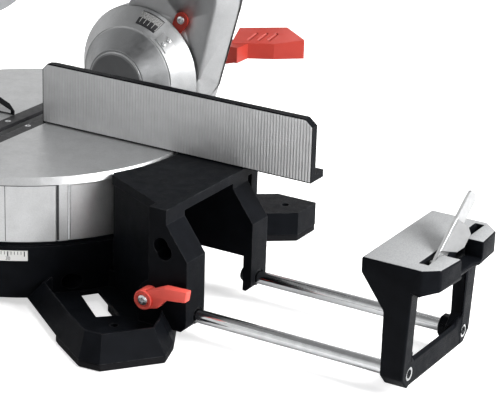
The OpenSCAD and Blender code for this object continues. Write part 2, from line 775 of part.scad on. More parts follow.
module bevel_arm() color(silver) difference() {
    union() {
        on_bevel() {
            hull() {
                along_y(arm_front, arm_front + 1) polygon(arm_face);
                along_y(arm_mid_y, arm_mid_y + 1) polygon(arm_mid);
            }
            hull() {
                along_y(arm_mid_y, arm_mid_y + 1) polygon(arm_mid);
                along_y(arm_back - 1, arm_back) polygon(arm_tail);
            }
            bar_y(0, 0, band_r1 + 1, arm_front, arm_mid_y + 20);
            bar_y(0, 0, trunnion_r, arm_mid_y + 10, arm_back);
            bar_y(0, 0, 30, trunnion_back + slip_gap, arm_front + 1);
        }
        box([rail_xs[0] - 30, rail_xs[1] + 30], [housing_front, housing_back], [rail_z - 38, rail_z + 30]);
    }
    on_bevel() {
        bar_y(0, 0, bevel_r + run_gap, trunnion_back, arm_back + 1);
        bar_y(pointer_x, pointer_z, pointer_hole_r, arm_front - 1, arm_front + 12);
        // Hollow of the arm, open to the back
        along_y(arm_front + 16, arm_back + 1) polygon(arm_pocket);
    }
    for (x = rail_xs) bar_y(x, rail_z, rail_r + bush_wall + run_gap, housing_front - 1, housing_back + 1);
    bar_x(slide_knob_y, rail_z, 5 + run_gap, rail_xs[1] + rail_r, rail_xs[1] + 31);
    // Relief between the two rail bores
    box([rail_xs[0] + 24, rail_xs[1] - 24], [housing_front - 1, housing_back + 1], [rail_z - 14, rail_z + 40]);
}

pointer_hole_r = 2.05;
module bevel_pointer() color(red) on_bevel() difference() {
    union() {
        bar_y(pointer_x, pointer_z, 9, arm_front - 2.5, arm_front);
        along_y(arm_front - 2.5, arm_front) polygon([[49, 77], [41, 56], [52, 52], [65, 68]]);
    }
    bar_y(pointer_x, pointer_z, pointer_hole_r, arm_front - 4, arm_front + 1);
}

module rail_bushes() color("#b08d57") for (x = rail_xs, y = [housing_front + 2, housing_back - 27])
    difference() {
        bar_y(x, rail_z, rail_r + bush_wall, y, y + 25);
        bar_y(x, rail_z, rail_r + run_gap, y - 1, y + 26);
    }

// Paddle of the bevel clamp: plan outline from its near corner, and slope of its two faces
paddle_at = [75, arm_back + 15];
paddle_plan = [[0, 0], [44, 26], [72, 50], [46, 53], [-2, 22]];
paddle_a = 30.6;
paddle_slope = 33.8;
paddle_z0 = 10;
paddle_z1 = 29;

module on_paddle(z) {
    translate([paddle_at.x, paddle_at.y, z]) rotate(paddle_a) children();
}

module bevel_clamp_lever() color(red) on_bevel() difference() {
    union() {
        bar_y(0, 0, 21, arm_back + slip_gap, arm_back + 20);
        along_y(arm_back + slip_gap, arm_back + 16)
            polygon([[-4, -18], [88, paddle_z0], [88, paddle_z1], [-4, 20]]);
        box([62, 92], [arm_back + slip_gap, arm_back + 28], [paddle_z0, paddle_z1]);
        translate([paddle_at.x, paddle_at.y, paddle_z0]) linear_extrude(40) polygon(paddle_plan);
    }
    bar_y(0, 0, bevel_r + run_gap, arm_back, arm_back + 30);
    // Sloped top with its grip grooves
    on_paddle(paddle_z1) rotate([paddle_slope, 0, 0]) {
        translate([-30, 0, 0]) cube([140, 80, 60]);
        for (i = [0 : 2])
            translate([20 + 12 * i, 5, 0.6]) rotate([0, 90, 47]) cylinder(r = 1.8, h = 16);
    }
}

module slide_lock_knob() color(red) {
    bar_x(slide_knob_y, rail_z, 5, rail_xs[1] + rail_r + slip_gap, rail_xs[1] + 36);
    difference() {
        bar_x(slide_knob_y, rail_z, 17, rail_xs[1] + 30 + slip_gap, rail_xs[1] + 52);
        for (a = [0 : 60 : 300])
            bar_x(slide_knob_y + 20 * cos(a), rail_z + 20 * sin(a), 5, rail_xs[1] + 34, rail_xs[1] + 54);
    }
}

module carriage() color("#2a2b2e") difference() {
    union() {
        box([rail_xs[0] - 18, rail_xs[1] + 18], [rail_front - 8, housing_front - 26], [rail_z - 24, rail_z + 24]);
        for (x = [ear_l, ear_r]) {
            bar_x(pivot_y, pivot_z, ear_rad, x[0], x[1]);
            along_x(x[0], x[1]) polygon([[pivot_y - 14, pivot_z - 14], [rail_front + 2, rail_z - 24],
                [rail_front + 30, rail_z + 20], [pivot_y + 12, pivot_z + 16]]);
        }
    }
    bar_x(pivot_y, pivot_z, pin_r + run_gap, ear_l[0] - 1, ear_r[1] + 1);
    bar_x(pivot_y, pivot_z, ear_rad + 6, ear_l[1], ear_r[0]);
    for (x = rail_xs) bar_y(x, rail_z, rail_r, rail_front, housing_front);
}

module slide_rails() color(steel) for (x = rail_xs) bar_y(x, rail_z, rail_r, rail_front, rail_back);

module rail_end_cap() color(black) difference() {
    along_y(rail_back - 12, rail_back + 4) {
        translate([(rail_xs[0] + rail_xs[1]) / 2, rail_z]) round_rect(rail_gap + 44, 44, 16);
    }
    for (x = rail_xs) bar_y(x, rail_z, rail_r, rail_back - 13, rail_back);
}

module chop_pivot_pin() color(steel) {
    bar_x(pivot_y, pivot_z, pin_r, ear_l[0], ear_r[1]);
    bar_x(pivot_y, pivot_z, pin_r + 4, ear_l[0] - 5, ear_l[0]);
    bar_x(pivot_y, pivot_z, pin_r + 4, ear_r[1], ear_r[1] + 5);
}

// Helical return spring round the chop pivot pin
spring_turns = 5;
spring_r = 11;
spring_wire = 1;
spring_rings = 12;
spring_sides = 6;
spring_x0 = knuckle_x1 + 2;
spring_pitch = (ear_r[0] - slip_gap - spring_wire - spring_x0 - spring_wire) / spring_turns;
function coil_point(i) = let (a = 360 * i / spring_rings)
    [spring_x0 + spring_wire + spring_pitch * i / spring_rings, pivot_y + spring_r * cos(a),
        pivot_z + spring_r * sin(a)];
function coil_ring(i) = let (a = 360 * i / spring_rings, p = coil_point(i))
    [for (k = [0 : spring_sides - 1]) let (b = 360 * k / spring_sides)
        p + spring_wire * [sin(b), cos(b) * cos(a), cos(b) * sin(a)]];
spring_last = spring_turns * spring_rings;
echo(spring_gap = spring_pitch - 2 * spring_wire);

module return_spring() color(steel) {
    pts = [for (i = [0 : spring_last]) each coil_ring(i)];
    n = spring_sides;
    side = [for (i = [0 : spring_last - 1], k = [0 : n - 1], t = [0, 1])
        let (a = i * n + k, b = i * n + (k + 1) % n)
        t == 0 ? [a, b, b + n] : [a, b + n, a + n]];
    ends = [for (k = [1 : n - 2])
        each [[0, k + 1, k], [spring_last * n, spring_last * n + k, spring_last * n + k + 1]]];
    polyhedron(points = pts, faces = concat(side, ends));
}

// Half disc of the guard, from its lower edge upward
module guard_disc(r) {
    intersection() {
        translate([-arbor_y, arbor_z]) circle(r, $fn = 128);
        translate([-arbor_y - r, arbor_z - guard_skirt]) square([2 * r, r + guard_skirt + 1]);
    }
}

dust_a = 30;
dust_r = 15;
dust_x = -5;
module dust_axis() {
    translate([dust_x, -arbor_y, arbor_z]) rotate([-dust_a, 0, 0]) children();
}

module upper_guard() color("#2b2c2f") raised() difference() {
    union() {
        difference() {
            along_x(guard_x0, guard_x1) guard_disc(guard_out);
            along_x(guard_x0 + 3, guard_x1 - 3) difference() {
                guard_disc(guard_in);
                translate([-arbor_y, arbor_z]) circle(1);
            }
        }
        bar_x(-arbor_y, arbor_z, 24, guard_x1 - 6, guard_x1);
        dust_axis() bar_z(0, 0, dust_r + 3, guard_in + 1, guard_in + 22);
    }
    bar_x(-arbor_y, arbor_z, arbor_r + 1, guard_x0 + 4, guard_x1 + 1);
    bar_x(-arbor_y, arbor_z, 27, guard_x0 - 1, guard_x0 + 4);
    along_x(guard_x0 - 1, guard_x0 + 4) translate([-arbor_y - 27, arbor_z - 40]) square([54, 40]);
    dust_axis() {
        box([-5, 12], [-10, 11], [guard_in - 12, guard_in + 6]);
        bar_z(0, 0, dust_r - 3, guard_in + 4.5, guard_in + 30);
    }
}

module dust_port() color(black) raised() dust_axis() difference() {
    union() {
        bar_z(0, 0, dust_r + 3, guard_in + 22, guard_in + 30);
        bar_z(0, 0, dust_r, guard_in + 30, guard_in + 60);
    }
    bar_z(0, 0, dust_r - 3, guard_in + 21, guard_in + 61);
}

// Outline of the drive housing round both pulley axes
module drive_outline(r) {
    hull() {
        translate([-arbor_y, arbor_z]) circle(r, $fn = 48);
        translate([motor_y, motor_z]) circle(r, $fn = 48);
    }
}

module drive_housing() color("#2b2c2f") raised() difference() {
    union() {
        difference() {
            along_x(drive_x0, drive_x1) drive_outline(27);
            along_x(drive_x0 + drive_wall, drive_x1 - drive_wall) drive_outline(23.5);
        }
        bar_x(-arbor_y, arbor_z, 21, drive_x0, drive_x0 + bearing_w);
        bar_x(-arbor_y, arbor_z, 21, drive_x1 - bearing_w - 4, drive_x1);
        bar_x(motor_y, motor_z, 18, drive_x1 - bearing_w - 4, drive_x1);
        bar_x(pivot_y, pivot_z, ear_rad, knuckle_x0, knuckle_x1);
        along_x(knuckle_x0, drive_x1 - eps) polygon([[motor_y + 16, motor_z + 26], [pivot_y + 2, pivot_z + 20],
            [pivot_y + 8, pivot_z - 18], [motor_y + 30, motor_z - 8]]);
    }
    bar_x(-arbor_y, arbor_z, arbor_r + 1, drive_x0 - 1, drive_x1 - 3);
    bar_x(-arbor_y, arbor_z, bearing_r(arbor_r), drive_x0 + 1, drive_x0 + bearing_w + 1);
    bar_x(-arbor_y, arbor_z, bearing_r(arbor_r), drive_x1 - bearing_w - 5, drive_x1 - 4);
    bar_x(motor_y, motor_z, shaft_r + 1, drive_x1 - 20, drive_x1 + 1);
    bar_x(motor_y, motor_z, bearing_r(shaft_r), drive_x1 - bearing_w - 5, drive_x1 - 4);
    bar_x(pivot_y, pivot_z, pin_r + run_gap, knuckle_x0 - 1, knuckle_x1 + 1);
}

function bearing_r(r) = r + 8;

module bearing(y, z, r, x) {
    tube_x(y, z, r + run_gap, bearing_r(r), x, x + bearing_w - eps);
}

module shaft_bearings() color(steel) raised() {
    bearing(-arbor_y, arbor_z, arbor_r, drive_x0 + 1);
    bearing(-arbor_y, arbor_z, arbor_r, drive_x1 - bearing_w - 4);
    bearing(motor_y, motor_z, shaft_r, drive_x1 - bearing_w - 4);
    bearing(motor_y, motor_z, shaft_r, motor_x1 + 4);
}

module motor_housing() color("#2b2c2f") raised() difference() {
    union() {
        bar_x(motor_y, motor_z, motor_r, motor_x0, motor_x1);
        bar_x(motor_y, motor_z, motor_r + 3, motor_x0, motor_x0 + 8);
    }
    bar_x(motor_y, motor_z, motor_r - 4, motor_x0 + 4, motor_x1 + 1);
    bar_x(motor_y, motor_z, shaft_r + 2, motor_x0 - 1, motor_x0 + 5);
    // Cooling slots near the drive end
    for (a = [0 : 30 : 330])
        translate([motor_x0 + 12, motor_y, motor_z]) rotate([a, 0, 0])
            box([0, 12], [-2, 2], [motor_r - 8, motor_r + 2]);
}

module motor_cap() color(black) raised() difference() {
    union() {
        bar_x(motor_y, motor_z, motor_r, motor_x1, motor_x1 + motor_cap_l - 8);
        translate([motor_x1 + motor_cap_l - 8, motor_y, motor_z]) rotate([0, 90, 0])
            cylinder(r1 = motor_r, r2 = motor_r - 8, h = 8);
    }
    difference() {
        bar_x(motor_y, motor_z, motor_r - 4, motor_x1 - 1, motor_x1 + motor_cap_l - 9);
        bar_x(motor_y, motor_z, 19, motor_x1 + 4, motor_x1 + motor_cap_l);
        for (a = [45 : 90 : 315])
            translate([motor_x1 + 4, motor_y, motor_z]) rotate([a, 0, 0])
                box([0, motor_cap_l], [-2, 2], [15, motor_r]);
    }
    bar_x(motor_y, motor_z, bearing_r(shaft_r), motor_x1 - 1, motor_x1 + 4 + bearing_w);
    bar_x(motor_y, motor_z, shaft_r + 1, motor_x1, motor_x1 + 16);
    // Cooling slots in the end face
    for (z = [-24 : 8 : 24])
        if (abs(z) > 19)
            box([motor_x1 + motor_cap_l - 12, motor_x1 + motor_cap_l + 1], [motor_y - 20, motor_y + 20],
                [motor_z + z - 1.5, motor_z + z + 1.5]);
    bar_y(motor_x1 + 12, motor_z, gland_r, motor_y, motor_y + motor_r + 1);
}

gland_r = 7;
module cord_gland() color("#161618") raised() difference() {
    union() {
        bar_y(motor_x1 + 12, motor_z, gland_r, motor_y + motor_r - 6, motor_y + motor_r + 14);
        bar_y(motor_x1 + 12, motor_z, gland_r + 2.5, motor_y + motor_r + 1, motor_y + motor_r + 5);
    }
    bar_y(motor_x1 + 12, motor_z, 4, motor_y + motor_r - 8, motor_y + motor_r + 15);
}

module stator() color("#7a5a3a") raised()
    tube_x(motor_y, motor_z, 27, motor_r - 4 - run_gap, motor_x0 + 28, motor_x1 - 20);

module armature() color("#8c6a44") raised() {
    bar_x(motor_y, motor_z, shaft_r, belt_x0 - 2, motor_x1 + 14);
    bar_x(motor_y, motor_z, 26, motor_x0 + 30, motor_x1 - 22);
    bar_x(motor_y, motor_z, 14, motor_x1 - 16, motor_x1 - 2);
    bar_x(motor_y, motor_z, motor_pulley_r, belt_x0 - 0.5, belt_x0 + belt_w + 0.5);
    bar_x(motor_y, motor_z, 34, motor_x0 + 10, motor_x0 + 20);
}

module belt_outline(t) {
    hull() {
        translate([-arbor_y, arbor_z]) circle(arbor_pulley_r + t, $fn = 48);
        translate([motor_y, motor_z]) circle(motor_pulley_r + t, $fn = 48);
    }
}

module drive_belt() color("#18181a") raised() along_x(belt_x0, belt_x0 + belt_w) difference() {
    belt_outline(slip_gap + 0.1 + belt_t);
    belt_outline(slip_gap + 0.1);
}

module arbor() color(steel) raised() {
    bar_x(-arbor_y, arbor_z, arbor_r, 7, drive_x1 - 4);
    bar_x(-arbor_y, arbor_z, arbor_pulley_r, belt_x0 - 0.5, belt_x0 + belt_w + 0.5);
    bar_x(-arbor_y, arbor_z, 5, -blade_t, 7 + eps);
}

module blade_flanges() color("#8d8f92") raised() {
    difference() {
        union() {
            bar_x(-arbor_y, arbor_z, flange_r, blade_t / 2, 7);
            bar_x(-arbor_y, arbor_z, blade_bore / 2 - run_gap, -blade_t / 2 + eps, blade_t / 2 + eps);
        }
        bar_x(-arbor_y, arbor_z, 5 + run_gap, -blade_t, 8);
    }
    difference() {
        bar_x(-arbor_y, arbor_z, flange_r, -6, -blade_t / 2);
        bar_x(-arbor_y, arbor_z, 5 + run_gap, -7, 0);
    }
}

// Toothed disc with gullets between the teeth
module saw_blade() color("#d9dadc") raised() difference() {
    bar_x(-arbor_y, arbor_z, blade_r, -blade_t / 2, blade_t / 2);
    bar_x(-arbor_y, arbor_z, blade_bore / 2, -blade_t, blade_t);
    for (i = [0 : blade_teeth - 1])
        translate([0, -arbor_y, arbor_z]) rotate([360 * i / blade_teeth, 0, 0])
            along_x(-blade_t, blade_t)
                polygon([[-3.6, blade_r - 7], [3, blade_r - 1.5], [1.5, blade_r + 2], [-4, blade_r + 2]]);
}

module blade_bolt() color("#4a4c50") raised() {
    bar_x(-arbor_y, arbor_z, 9, -8, -6);
    translate([-12, -arbor_y, arbor_z]) rotate([0, 90, 0]) cylinder(r = 8, h = 4, $fn = 6);
    bar_x(-arbor_y, arbor_z, 5, -8, -blade_t - eps);
}

// Swinging guard that covers the lower part of the blade
lower_in = blade_r + 4.5;
lower_out = blade_r + 7;
lower_x0 = -9.5;
lower_x1 = 10.5;
lower_wall = 1.5;
lower_a0 = 185;
lower_a1 = 335;
module lower_sector(r) {
    intersection() {
        circle(r, $fn = 128);
        wedge(r, lower_a0, lower_a1);
    }
}

module lower_guard() color("#8a8c90")
    raised() translate([0, -arbor_y, arbor_z]) mirror([0, 1, 0]) difference() {
    union() {
        difference() {
            along_x(lower_x0, lower_x1) lower_sector(lower_out);
            along_x(lower_x0 + lower_wall, lower_x1 - lower_wall) difference() {
                lower_sector(lower_in);
                circle(1);
            }
            along_x(lower_x0 - 1, lower_x0 + 2) circle(62);
        }
        along_x(lower_x1 - lower_wall, lower_x1) circle(31);
    }
    along_x(lower_x1 - 3, lower_x1 + 1) circle(24 + run_gap);
    along_x(lower_x0 - 1, lower_x1 - lower_wall - eps) circle(32);
}

module handle_outline() {
    difference() {
        translate([handle_y, handle_zc]) round_rect(112, 92, 30);
        translate([handle_y, handle_zc]) round_rect(56, 44, 16);
    }
    // Bridge to the rim of the blade guard
    polygon([for (a = [136, 120]) [-arbor_y, arbor_z] + (guard_out - 1) * [cos(a), sin(a)],
        [handle_y + 30, handle_zc + 44], [handle_y + 40, handle_zc - 42]]);
}

module handle() color(black) raised() difference() {
    along_x(-handle_w / 2, handle_w / 2) difference() {
        handle_outline();
        translate([-arbor_y, arbor_z]) circle(guard_out, $fn = 128);
    }
    // Pockets of the trigger and of the lock-off button
    box([-7, 7], [handle_y - 28 - 16, handle_y - 20], [handle_zc - 14, handle_zc + 16]);
    box([-6, 6], [handle_y - 22, handle_y + 2], [handle_zc + 30, handle_zc + 47]);
}

module handle_grip() color("#26272a") raised()
    for (x = [[-handle_w / 2 - 2.5, -handle_w / 2], [handle_w / 2, handle_w / 2 + 2.5]])
    along_x(x[0], x[1]) translate([handle_y - 41, handle_zc]) round_rect(18, 52, 8);

module trigger() color(red) raised()
    box([-6.5, 6.5], [handle_y - 44 + trigger_travel + slip_gap, handle_y - 21],
        [handle_zc - 13.5, handle_zc + 15.5]);

module lock_off_button() color(red) raised()
    box([-5.5, 5.5], [handle_y - 21.5, handle_y + 1.5],
        [handle_zc + 30 + button_travel + slip_gap, handle_zc + 51]);

// Outline of the end frame seen from its end, without its windows
frame_y0 = -141;
frame_y1 = 7;
leg_front_y = -124;
leg_rear_y = -14;
frame_z0 = 10;
bar_z1 = 34.5;
frame_back_x = frame_x + 11.5;
frame_out_x = frame_x + leg_w;
corner = 9;

module end_frame_plan() {
    polygon([[flange_x0, frame_y0], [flange_x1 - 18, frame_y0], [flange_x1 - 3.4, -129.7], [flange_x1, -92],
        [flange_x1 - 5, -86], [flange_x1 - 5, -54], [flange_x1 - 1, -48], [flange_x1 - 4, -8.7],
        [flange_x1 - 20, frame_y1], [flange_x0, frame_y1]]);
}

// Leg in X and Z, with a gusset that nests on the base's end
module end_frame_leg(y0, y1, x) {
    along_y(y0, y1) polygon([[x, frame_z0], [frame_out_x, frame_z0], [frame_out_x + 5, table_z - flange_h + 1],
        [frame_out_x + 5, table_z - 2], [flange_x0, table_z - 2], [flange_x0, nest_z1], [frame_x, nest_z0],
        [x, nest_z0 - 10]]);
}

module end_frame() color(black) difference() {
    union() {
        difference() {
            along_z(table_z - flange_h, table_z) end_frame_plan();
            // Sloped underside of the flange, inside along the gusset and outside along its rim
            along_y(frame_y0 - 10, frame_y1 + 10) {
                polygon([[flange_x1 + 1, table_z - flange_h - 1], [flange_x1 + 1, table_z - flange_h + 5],
                    [flange_x1 - 22, table_z - flange_h - 1]]);
                polygon([[flange_x0 - 1, nest_z0], [flange_x0 - 1, nest_z1], [flange_x0, nest_z1],
                    [frame_x, nest_z0]]);
            }
        }
        end_frame_leg(frame_y0, leg_front_y, frame_x);
        end_frame_leg(leg_rear_y, frame_y1, frame_back_x);
        // Lower bar with a sloped inner side, and the filled corners of the window
        along_y(frame_y0 + 1, frame_y1 - 1)
            polygon([[frame_back_x, frame_z0], [frame_out_x, frame_z0], [frame_out_x, bar_z1],
                [frame_out_x - 4, bar_z1], [frame_back_x, bar_z1 - 9]]);
        along_x(frame_back_x, frame_out_x)
            for (c = [[leg_front_y, 1], [leg_rear_y, -1]])
                polygon([[c[0] - c[1], bar_z1 - 6], [c[0] + c[1] * (corner + 6), bar_z1 - 6],
                    [c[0], bar_z1 + corner], [c[0] - c[1], bar_z1 + corner]]);
        // Bosses of the rods on the inner side
        for (y = rod_ys)
            translate([frame_x, y, rod_z]) rotate([0, 90, 0]) rotate(22.5) cylinder(r = 13, h = 13, $fn = 8);
    }
    for (y = rod_ys) bar_x(y, rod_z, rod_r, frame_x - 8, frame_out_x + 2);
    // Slot of the flip stop, its pin bore and the finger recess
    box([slot_x0, slot_x0 + slot_w], [-123, -1.4], [table_z - flange_h - 1, table_z + 1]);
    bar_x(stop_y, stop_z, stop_pin_r + run_gap, slot_x0 - 7, slot_x0 + slot_w + 7);
    box([slot_x0 + slot_w - 1, flange_x1 + 1], [-93, -43], [stop_z - 9, table_z + 1]);
    // Rounded lower corners
    for (s = [[frame_y0, 1], [frame_y1, -1]])
        along_x(frame_x - 4, frame_out_x + 6)
            polygon([[s[0] - s[1], frame_z0 - 1], [s[0] + 12 * s[1], frame_z0 - 1],
                [s[0] - s[1], frame_z0 + 13]]);
}

module extension_rods() color(steel) difference() {
    union() {
        bar_x(-rod_front, rod_z, rod_r, rod_inner_x, frame_out_x);
        bar_x(-rod_rear, rod_z, rod_r, frame_out_x - rod_rear_l, frame_out_x);
    }
    for (y = rod_ys) bar_x(y, rod_z, rod_end_r, frame_out_x - 14, frame_out_x + 1);
}

rod_end_r = 4.4;

// Flip stop: a finger on a cross pin with a bent thumb tab, drawn flat and then lifted
stop_outline = [[-6, -6], [-6, 4], [84, 4], [88, 2], [92, -9], [90, -14], [20, -14], [6, -8]];
tab_outline = [[0, 12], [0, 53], [15, 50], [20, 44], [20, 29], [16, 20]];
tab_tilt = 25;
tab_t = 1.6;
module flip_stop() color(steel) translate([0, stop_y, stop_z]) rotate([stop_lift, 0, 0]) {
    x0 = slot_x0 + (slot_w - stop_t) / 2;
    along_x(x0, x0 + stop_t) polygon(stop_outline);
    translate([x0 + 1, 0, 4]) rotate([0, tab_tilt, 0]) along_z(-tab_t, 0) polygon(tab_outline);
    bar_x(0, 0, stop_pin_r, slot_x0 - 6, slot_x0 + slot_w + 6);
}

lever_front = base_front + slip_gap + 14;
module clamp_lever() color(red) difference() {
    union() {
        bar_y(clamp_x, clamp_z, 10.5, -lever_front, -base_front - slip_gap);
        bar_y(clamp_x, clamp_z, clamp_r, -base_front - 1, -base_front + column_d);
        along_y(-lever_front, -lever_front + 9)
            polygon([[clamp_x + 4, clamp_z - 9], [clamp_x + 16, clamp_z - 6], [clamp_x + 26, clamp_z + 5],
                [clamp_x + 49, clamp_z + 8], [clamp_x + 51, clamp_z + 20], [clamp_x + 24, clamp_z + 19],
                [clamp_x + 2, clamp_z + 9]]);
    }
    bar_y(clamp_x, clamp_z, 6.2, -lever_front - 1, -lever_front + 3);
}

module right_end_frame() end_frame();
module right_rods() extension_rods();
module right_stop() flip_stop();
module right_clamp_lever() clamp_lever();
module left_end_frame() mirror([1, 0, 0]) end_frame();
module left_rods() mirror([1, 0, 0]) extension_rods();
module left_stop() mirror([1, 0, 0]) flip_stop();
module left_clamp_lever() mirror([1, 0, 0]) clamp_lever();

base_casting();
foot_pads();
mitre_scale();
fence_right();
fence_left();
fence_slide();
fence_bolts();
rod_bushes();
clamp_shoes();
table_pivot_bolt();
turntable();
kerf_plates();
mitre_pointer();
mitre_lock_spindle();
mitre_lock_knob();
detent_lever();
bevel_trunnion();
trunnion_bolts();
trunnion_cap();
bevel_scale();
bevel_stop_plate();
bevel_pivot_bolt();
bevel_arm();
bevel_pointer();
fence_knob();
rail_bushes();
bevel_clamp_lever();
slide_lock_knob();
carriage();
slide_rails();
rail_end_cap();
chop_pivot_pin();
return_spring();
upper_guard();
drive_housing();
motor_housing();
motor_cap();
stator();
shaft_bearings();
drive_belt();
handle();
handle_grip();
trigger();
lock_off_button();
dust_port();
cord_gland();
arbor();
blade_flanges();
saw_blade();
blade_bolt();
armature();
lower_guard();
right_end_frame();
right_rods();
right_stop();
right_clamp_lever();
left_end_frame();
left_rods();
left_stop();
left_clamp_lever();
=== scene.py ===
import bmesh
import bpy
import json
import math
from mathutils import Matrix, Vector

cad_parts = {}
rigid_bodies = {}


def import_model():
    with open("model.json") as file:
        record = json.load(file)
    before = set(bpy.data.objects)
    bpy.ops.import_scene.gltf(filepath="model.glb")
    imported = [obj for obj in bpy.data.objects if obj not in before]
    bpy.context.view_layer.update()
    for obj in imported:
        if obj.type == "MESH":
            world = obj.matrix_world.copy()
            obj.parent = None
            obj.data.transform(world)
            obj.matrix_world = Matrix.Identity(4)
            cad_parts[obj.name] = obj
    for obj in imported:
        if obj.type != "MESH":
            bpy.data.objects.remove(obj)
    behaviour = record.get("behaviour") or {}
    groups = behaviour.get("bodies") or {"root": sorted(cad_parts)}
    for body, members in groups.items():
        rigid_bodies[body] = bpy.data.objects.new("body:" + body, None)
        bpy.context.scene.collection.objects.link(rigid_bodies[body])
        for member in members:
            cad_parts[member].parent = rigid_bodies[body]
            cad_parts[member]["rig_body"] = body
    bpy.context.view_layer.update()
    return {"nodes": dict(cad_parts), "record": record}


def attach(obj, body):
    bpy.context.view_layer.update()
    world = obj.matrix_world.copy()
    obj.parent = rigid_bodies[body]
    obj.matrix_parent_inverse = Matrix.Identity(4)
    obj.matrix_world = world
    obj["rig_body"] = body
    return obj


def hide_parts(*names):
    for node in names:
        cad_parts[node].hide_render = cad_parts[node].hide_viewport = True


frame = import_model()
scene = bpy.context.scene
scene.view_settings.view_transform = "Standard"
nodes = frame["nodes"]
SLOT_OF = {part["node"]: part["material_slot"] for part in frame["record"]["subparts"]}
SIDES = ((1, "right"), (-1, "left"))

# Lengths are in metres throughout, apart from the camera's lens and sensor

# Camera of the photograph
CAMERA_PLACE = Vector((1.2600, -1.6722, 0.8397))
CAMERA_RIGHT = Vector((0.8574, 0.5139, 0.0294))
CAMERA_UP = Vector((-0.2061, 0.2906, 0.9344))
LENS_MM = 144.0
SENSOR_MM = 36.0
FAR_CLIP = 50.0

# Studio: surroundings, floor, and lamps with their place, target, size and power
DIFFUSE_LIGHT = 0.24
ZENITH_FADE = {"From Min": 0.25, "From Max": 0.80, "To Min": 1.0, "To Max": 0.30}
FLOOR_HALF = 6.0
FLOOR_DROP = 0.0005
FLOOR_GLOW = 0.58
LAMPS = (
    ("key", (3.0, 0.2, 1.5), (0.3, 0.0, 0.1), 1.6, 180.0),
    ("fill", (-2.2, -2.2, 2.0), (0.1, 0.0, 0.1), 1.8, 12.0),
    ("top", (0.4, 0.5, 3.0), (0.3, 0.0, 0.1), 1.6, 40.0),
)

# Axes of the saw: blade and motor as Y and Z of the lowered head
CHOP_PIVOT = Vector((0.0, 0.100, 0.338))
CHOP_LIFT = math.radians(-52.0)
ARBOR = (-0.045, 0.237)
MOTOR = (0.005, 0.318)
BEVEL_Z = 0.137

# Flared band of the trunnion: where it starts, its radius there and its slope
FLARE_Y = 0.190
FLARE_R = 0.061
FLARE_SLOPE = 0.76

# Places of the sockets of a mix node
MIX_NUMBERS = (2, 3)
MIX_COLORS = (6, 7)
MIX_COLOR_OUT = 2


def new_mesh(name, verts, faces):
    mesh = bpy.data.meshes.new(name)
    mesh.from_pydata(verts, [], faces)
    return mesh


def make_camera():
    data = bpy.data.cameras.new("photo_camera")
    data.lens = LENS_MM
    data.sensor_width = SENSOR_MM
    data.sensor_fit = "HORIZONTAL"
    data.clip_end = FAR_CLIP
    camera = bpy.data.objects.new("photo_camera", data)
    right = CAMERA_RIGHT.normalized()
    back = right.cross(CAMERA_UP).normalized()
    up = back.cross(right)
    turn = Matrix((right, up, back)).transposed().to_4x4()
    camera.matrix_world = Matrix.Translation(CAMERA_PLACE) @ turn
    scene.collection.objects.link(camera)
    scene.camera = camera


def make_lamp(name, place, target, size, power):
    data = bpy.data.lights.new(name, "AREA")
    data.shape = "DISK"
    data.size = size
    data.energy = power
    lamp = bpy.data.objects.new(name, data)
    direction = Vector(target) - Vector(place)
    turn = direction.to_track_quat("-Z", "Y").to_matrix().to_4x4()
    lamp.matrix_world = Matrix.Translation(place) @ turn
    scene.collection.objects.link(lamp)


def make_world():
    """White surroundings; the camera and mirrors see them white, with a dimmer zenith in reflections."""
    world = bpy.data.worlds.new("studio")
    world.use_nodes = True
    scene.world = world
    tree = world.node_tree
    background = tree.nodes["Background"]
    background.inputs["Color"].default_value = (1.0, 1.0, 1.0, 1.0)
    first, second = MIX_NUMBERS
    path = tree.nodes.new("ShaderNodeLightPath")
    place = tree.nodes.new("ShaderNodeTexCoord")
    split = tree.nodes.new("ShaderNodeSeparateXYZ")
    tree.links.new(place.outputs["Generated"], split.inputs[0])
    zenith = tree.nodes.new("ShaderNodeMapRange")
    for key, value in ZENITH_FADE.items():
        zenith.inputs[key].default_value = value
    tree.links.new(split.outputs["Z"], zenith.inputs["Value"])
    mirror = tree.nodes.new("ShaderNodeMix")
    mirror.inputs[first].default_value = DIFFUSE_LIGHT
    tree.links.new(path.outputs["Is Glossy Ray"], mirror.inputs[0])
    tree.links.new(zenith.outputs["Result"], mirror.inputs[second])
    direct = tree.nodes.new("ShaderNodeMath")
    direct.operation = "MAXIMUM"
    tree.links.new(path.outputs["Is Camera Ray"], direct.inputs[0])
    tree.links.new(path.outputs["Is Transmission Ray"], direct.inputs[1])
    seen = tree.nodes.new("ShaderNodeMix")
    seen.inputs[second].default_value = 1.0
    tree.links.new(direct.outputs[0], seen.inputs[0])
    tree.links.new(mirror.outputs[0], seen.inputs[first])
    tree.links.new(seen.outputs[0], background.inputs["Strength"])


def floor_white():
    """White that glows for the camera alone, so that the shadow stays."""
    material = bpy.data.materials.new("floor_white")
    material.use_nodes = True
    tree = material.node_tree
    shader = tree.nodes["Principled BSDF"]
    shader.inputs["Base Color"].default_value = (0.9, 0.9, 0.9, 1.0)
    shader.inputs["Roughness"].default_value = 0.9
    shader.inputs["Emission Color"].default_value = (1.0, 1.0, 1.0, 1.0)
    path = tree.nodes.new("ShaderNodeLightPath")
    glow = tree.nodes.new("ShaderNodeMapRange")
    glow.inputs["To Max"].default_value = FLOOR_GLOW
    tree.links.new(path.outputs["Is Camera Ray"], glow.inputs["Value"])
    tree.links.new(glow.outputs["Result"], shader.inputs["Emission Strength"])
    return material


def make_floor():
    half = FLOOR_HALF
    corners = [(-half, -half, 0), (half, -half, 0), (half, half, 0), (-half, half, 0)]
    mesh = new_mesh("floor", corners, [(0, 1, 2, 3)])
    floor = bpy.data.objects.new("floor", mesh)
    floor.location.z = -FLOOR_DROP
    scene.collection.objects.link(floor)
    mesh.materials.append(floor_white())


